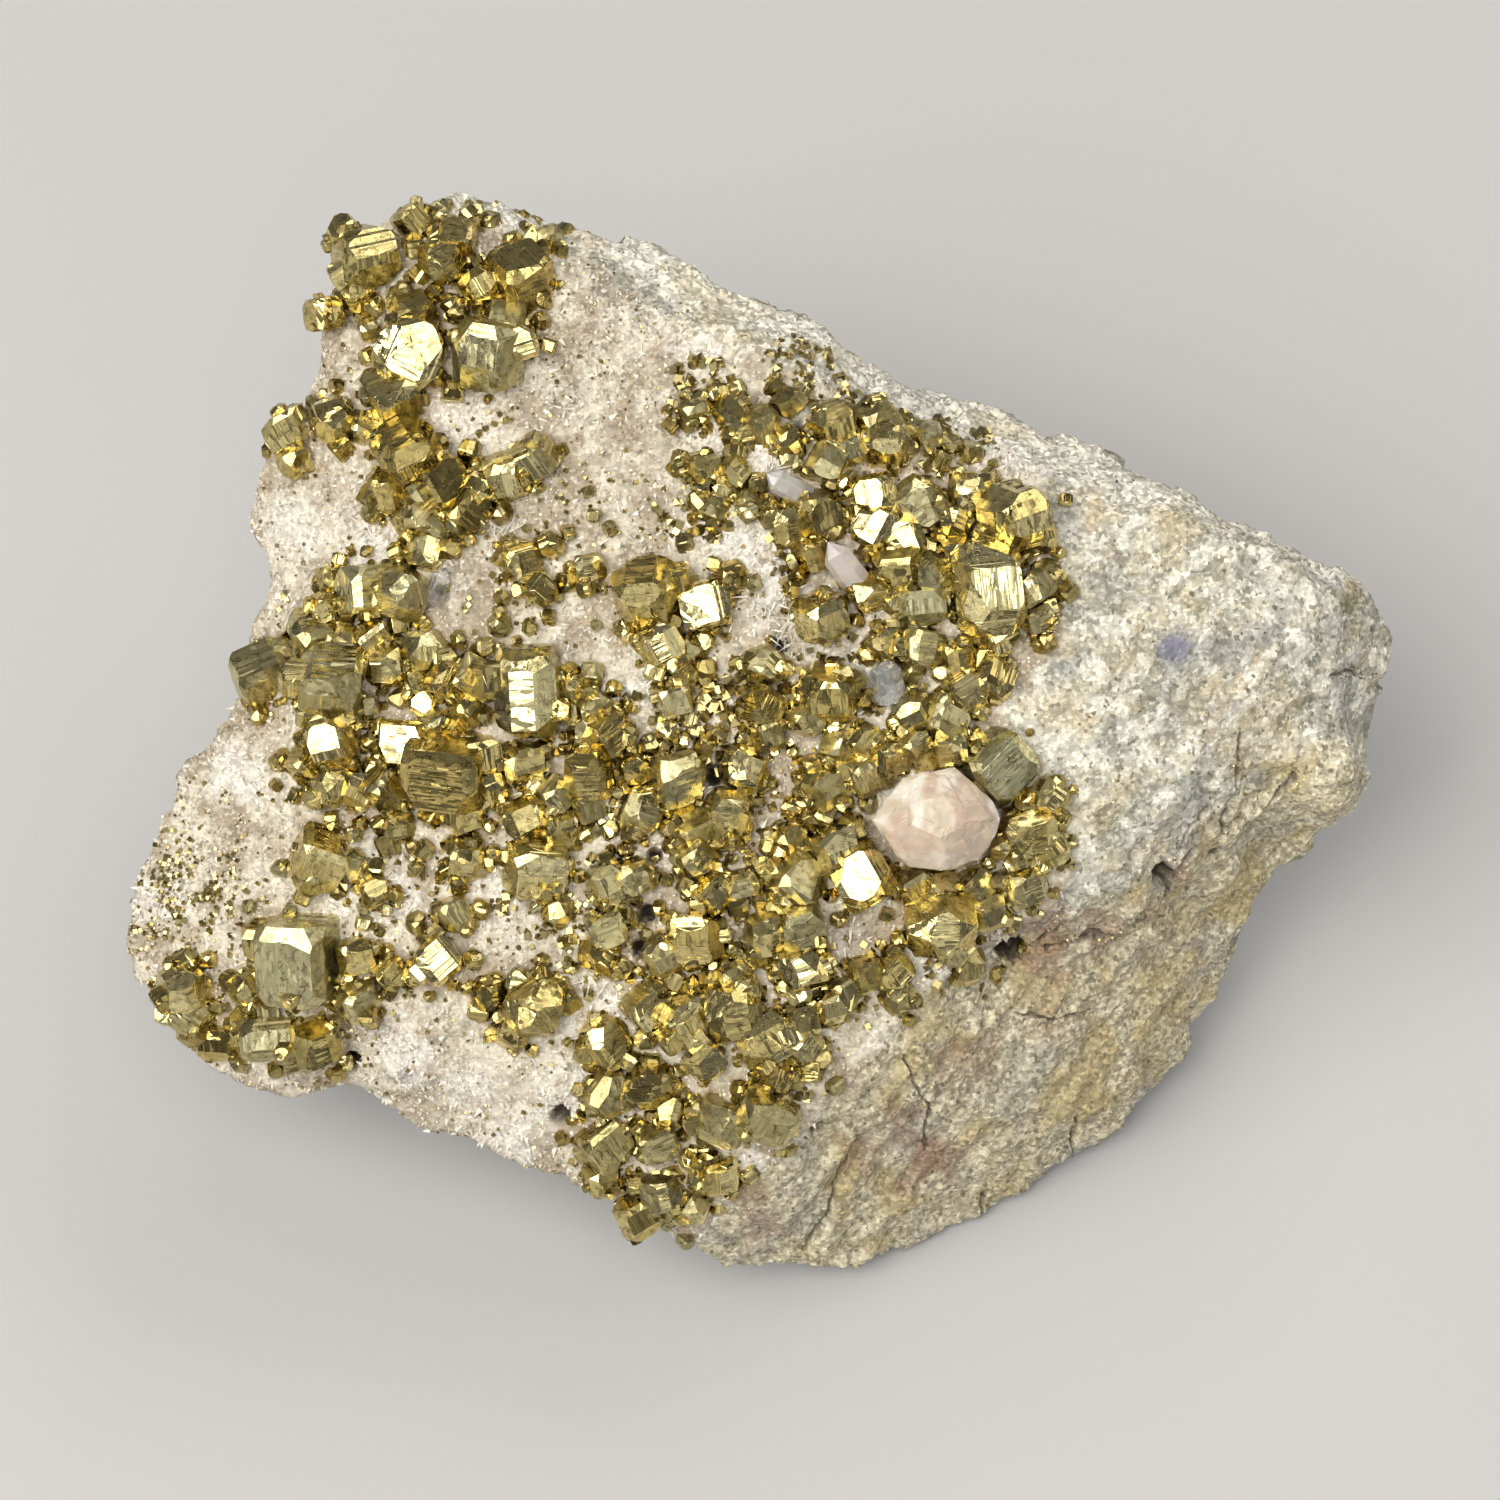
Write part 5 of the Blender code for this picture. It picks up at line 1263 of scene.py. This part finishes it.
def makeGrains():
    # Pyrite grains too small for forms of their own: little cubes and octahedra, half sunk.
    grains = {
        "onDruse": 1500,
        "onStone": 260,
        "druseWidths": (1.8, 2.4, 3, 3.6, 5),
        "stoneWidths": (1.8, 2.4, 3),
    }
    rng = random.Random(3)
    heap = newHeap()
    corners = [Vector((x, y, z)) for x in (-1, 1) for y in (-1, 1) for z in (-1, 1)]
    sides = [(0, 1, 3, 2), (4, 6, 7, 5), (0, 4, 5, 1), (2, 3, 7, 6), (0, 2, 6, 4), (1, 5, 7, 3)]
    tips = [Vector(tip) for tip in ((1, 0, 0), (-1, 0, 0), (0, 1, 0), (0, -1, 0), (0, 0, 1), (0, 0, -1))]
    wedges = [(0, 2, 4), (2, 1, 4), (1, 3, 4), (3, 0, 4), (2, 0, 5), (1, 2, 5), (3, 1, 5), (0, 3, 5)]

    def grain(x, y, width):
        hit, _ = surfaceUnder(x, y)
        if hit is None:
            return
        half = width * sight["step"] / 2
        turn = crystalTurn(rng.uniform(0, 90), rng.uniform(0, 90), rng.uniform(0, 90))
        place = hit + sightOut * half * 0.3
        tone = rng.random()
        shape, faces, scale = (corners, sides, 0.72) if rng.random() < 0.6 else (tips, wedges, 1.1)
        base = len(heap["verts"])
        for point in shape:
            heap["verts"].append(place + sightAxes @ (turn @ (point * half * scale)))
        for face in faces:
            heap["faces"].append([base + i for i in face])
            heap["tone"].append(min(1, max(0, tone + rng.uniform(-0.2, 0.2))))

    for x, y, reach, count, smallest, largest in grainFields:
        for i in range(count):
            for attempt in range(4):
                away = reach * math.sqrt(rng.random()) * 1.15
                angle = rng.uniform(0, 2 * math.pi)
                at = (x + math.cos(angle) * away, y + math.sin(angle) * away)
                if noise.noise(Vector((at[0] / 15, at[1] / 15, 4.4))) > 0.08:
                    break
            grain(at[0], at[1], rng.uniform(smallest, largest))
    druseSpots = np.flatnonzero(rockSkin["druse"] * rockFacing > 0.6)
    for i in random.Random(9).sample(list(druseSpots), grains["onDruse"]):
        grain(rockSeen[i][0], rockSeen[i][1], rng.choice(grains["druseWidths"]))
    stoneSpots = np.flatnonzero((rockSkin["druse"] < 0.2) & (rockFacing > 0.4))
    for i in random.Random(10).sample(list(stoneSpots), grains["onStone"]):
        grain(rockSeen[i][0], rockSeen[i][1], rng.choice(grains["stoneWidths"]))
    addPiece("pyrite_grains", heapMesh("grains", heap), speckMaterial())
    print("pyrite grains", len(heap["faces"]), "faces")


makePyrite()
makeDruse()
makeNeedles()
makeGrains()


def hullOf(bm, flat):
    # The hull round the points, with faces joined that differ by less than this many degrees.
    hull = bmesh.ops.convex_hull(bm, input=bm.verts)
    bmesh.ops.delete(bm, geom=hull["geom_interior"], context="VERTS")
    bmesh.ops.dissolve_limit(bm, angle_limit=math.radians(flat), verts=bm.verts, edges=bm.edges)


def meshFrom(bm, name):
    mesh = bpy.data.meshes.new(name)
    bm.to_mesh(mesh)
    bm.free()
    return mesh


def makeCalcite():
    # The milky crystal: a hull over a stack of outlines, then fine relief.
    calcite = {
        "middle": (935, 817),
        "outline": [(871, 820), (884, 798), (902, 777), (921, 771), (940, 768), (955, 766), (968, 782),
                    (982, 795), (996, 802), (1002, 818), (998, 833), (988, 847), (982, 863), (949, 870),
                    (927, 872), (909, 868), (898, 860), (890, 847), (878, 835)],
        # Depth in mm and share of the outline.
        "levels": [(0.2, 0.84), (1.5, 1.0), (2.5, 1.0), (3.3, 0.80), (4.0, 0.42)],
        "clear": [(990, 812, 20, 1), (968, 855, 28, 1), (925, 862, 22, 0.7), (955, 775, 14, 0.6)],
        "frost": [(912, 790, 26, 0.9), (945, 775, 12, 0.7), (880, 822, 12, 0.6), (940, 868, 16, 0.7),
                  (1000, 808, 12, 0.8)],
        "flat": 13,
        "cell": 0.24 * mm,
        # Heights of the relief in mm.
        "steps": 0.15,
        "chips": 0.05,
        "ripple": 0.06,
    }
    rng = random.Random(22)
    x0, y0 = calcite["middle"]
    low = sightPoint(x0, y0)
    start = min((v.co - low).dot(sightOut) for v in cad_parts["calcite_crystal"].data.vertices)
    bm = bmesh.new()
    for depth, shrink in calcite["levels"]:
        for x, y in calcite["outline"]:
            near = shrink * rng.uniform(0.93, 1.0)
            at = depth * mm + rng.uniform(-0.3, 0.3) * mm
            bm.verts.new(sightPoint(x0 + (x - x0) * near, y0 + (y - y0) * near, start + at))
    hullOf(bm, calcite["flat"])
    bmesh.ops.triangulate(bm, faces=bm.faces)
    for step in range(4):
        long = [e for e in bm.edges if e.calc_length() > calcite["cell"]]
        bmesh.ops.subdivide_edges(bm, edges=long, cuts=1, use_grid_fill=True)
        bmesh.ops.triangulate(bm, faces=bm.faces)
    bm.normal_update()
    places = np.array([v.co for v in bm.verts])
    lift = calcite["steps"] * chipsAt(places, 2.6 * mm, 3.7)
    lift += calcite["chips"] * chipsAt(places, 0.9 * mm, 5.1)
    lift += calcite["ripple"] * noiseAt(places, 0.45 * mm, 6.2)
    for vert, rise in zip(bm.verts, lift):
        vert.co += vert.normal * float(rise) * mm
    mesh = meshFrom(bm, "calcite")
    seen = stepsOf(places)
    ragged = noiseAt(places, 0.9 * mm, 2.8)
    setAttribute(mesh, "clear", "FLOAT", "POINT", spotMask(seen, calcite["clear"], ragged))
    setAttribute(mesh, "frost", "FLOAT", "POINT", spotMask(seen, calcite["frost"], 1.4 * ragged))
    addPiece("calcite_milky", mesh, calciteMaterial(), ["calcite_crystal"])
    print("calcite", len(mesh.polygons), "triangles")


def makeQuartz():
    # Each: length and width in steps, lean and turn in degrees, tint, density and share of transmission.
    quartz = {
        "quartz_blade_pink": (72, 32, 18, 38, (0.97, 0.87, 0.81, 1), 60.0, 0.6),
        "quartz_blade_grey": (54, 26, 24, 62, (0.93, 0.90, 0.86, 1), 60.0, 0.65),
        "quartz_crystal_clear": (42, 22, 20, -20, (0.97, 0.97, 0.97, 1), 40.0, 0.9),
        "quartz_crystal_blue": (46, 34, 30, 12, (0.89, 0.92, 0.96, 1), 90.0, 0.8),
    }
    for name, (length, width, lean, turn, tint, density, clear) in quartz.items():
        radius = width * sight["step"] / 2
        reach = length * sight["step"]
        bm = bmesh.new()
        for i in range(6):
            angle = math.radians(60 * i + 12)
            side = Vector((math.cos(angle) * radius, 0, math.sin(angle) * radius * 0.8))
            bm.verts.new(side + Vector((0, -0.5 * reach, 0)))
            bm.verts.new(side * 0.94 + Vector((0, (0.24 + 0.03 * (i % 3)) * reach, 0)))
        bm.verts.new(Vector((0.1 * radius, 0.5 * reach, 0.1 * radius)))
        hullOf(bm, 4)
        bmesh.ops.recalc_face_normals(bm, faces=bm.faces)
        rim = {"offset": 0.04 * mm, "segments": 1, "affect": "EDGES", "clamp_overlap": True}
        bmesh.ops.bevel(bm, geom=bm.edges[:], **rim)
        spin = Matrix.Rotation(math.radians(turn), 3, "Z") @ Matrix.Rotation(math.radians(lean), 3, "X")
        low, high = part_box(name)
        place = (low + high) / 2
        for vert in bm.verts:
            vert.co = place + sightAxes @ (spin @ vert.co)
        mesh = meshFrom(bm, name)
        material = quartzMaterial(name, tint, density, clear)
        addPiece(name.replace("quartz", "clear"), mesh, material, [name])
    print("quartz pieces", len(quartz))


makeCalcite()
makeQuartz()


def makeFloor():
    stage = {
        "floor": (0.52, 0.51, 0.495, 1),
        "size": 2.4,
        "world": (0.70, 0.70, 0.70, 1),
        "worldStrength": 0.23,
    }
    material, _, shader = newMaterial("floorPaper")
    shader.inputs["Base Color"].default_value = stage["floor"]
    shader.inputs["Roughness"].default_value = 0.9
    half = stage["size"] / 2
    mesh = bpy.data.meshes.new("floor")
    corners = [(-half, -half, 0), (half, -half, 0), (half, half, 0), (-half, half, 0)]
    mesh.from_pydata(corners, [], [(0, 1, 2, 3)])
    mesh.materials.append(material)
    floor = bpy.data.objects.new("floor", mesh)
    bpy.context.scene.collection.objects.link(floor)
    world = bpy.data.worlds.new("studio")
    world.use_nodes = True
    background = world.node_tree.nodes["Background"]
    background.inputs["Color"].default_value = stage["world"]
    background.inputs["Strength"].default_value = stage["worldStrength"]
    bpy.context.scene.world = world


def makeLight(name, azimuth, elevation, distance, width, height, watts, colour):
    # azimuth 0 is where the viewer stands, counted to the viewer's right.
    around = math.radians(azimuth)
    up = math.radians(elevation)
    out = Vector((math.sin(around) * math.cos(up), -math.cos(around) * math.cos(up), math.sin(up)))
    data = bpy.data.lights.new(name, "AREA")
    data.shape = "RECTANGLE"
    data.size = width
    data.size_y = height
    data.energy = watts
    data.color = colour
    lamp = bpy.data.objects.new(name, data)
    lamp.location = Vector((0, 0, 0.02)) + out * distance
    lamp.rotation_euler = out.to_track_quat("Z", "Y").to_euler()
    bpy.context.scene.collection.objects.link(lamp)


def makeCamera():
    data = bpy.data.cameras.new("camera")
    data.lens = sight["lens"]
    data.sensor_width = 36
    data.clip_start = 0.005
    camera = bpy.data.objects.new("camera", data)
    camera.matrix_world = Matrix.Translation(eye) @ sightAxes.to_4x4()
    bpy.context.scene.collection.objects.link(camera)
    bpy.context.scene.camera = camera


# Each light: azimuth, elevation, distance, width, height, watts, colour.
lamps = {
    "key": (-60, 50, 0.8, 0.6, 0.6, 5.2, (1, 0.985, 0.95)),
    "front": (-10, 66, 0.6, 0.36, 0.36, 1.35, (1, 0.985, 0.96)),
    "panel": (10, 42, 1.3, 1.7, 1.1, 3.6, (1, 0.99, 0.98)),
    "side": (95, 25, 0.8, 0.4, 0.35, 0.8, (1, 0.98, 0.95)),
    "back": (150, 44, 0.8, 0.55, 0.45, 1.8, (1, 0.985, 0.96)),
}
makeFloor()
for lamp, numbers in lamps.items():
    makeLight(lamp, *numbers)
makeCamera()
scene = bpy.context.scene
scene.view_settings.view_transform = "Standard"
scene.view_settings.look = "None"
scene.cycles.max_bounces = 9
scene.cycles.diffuse_bounces = 1
scene.cycles.glossy_bounces = 2
scene.cycles.use_light_tree = False
scene.cycles.light_sampling_threshold = 0.05
scene.cycles.denoising_prefilter = "FAST"
print("floor, lights and camera ready")
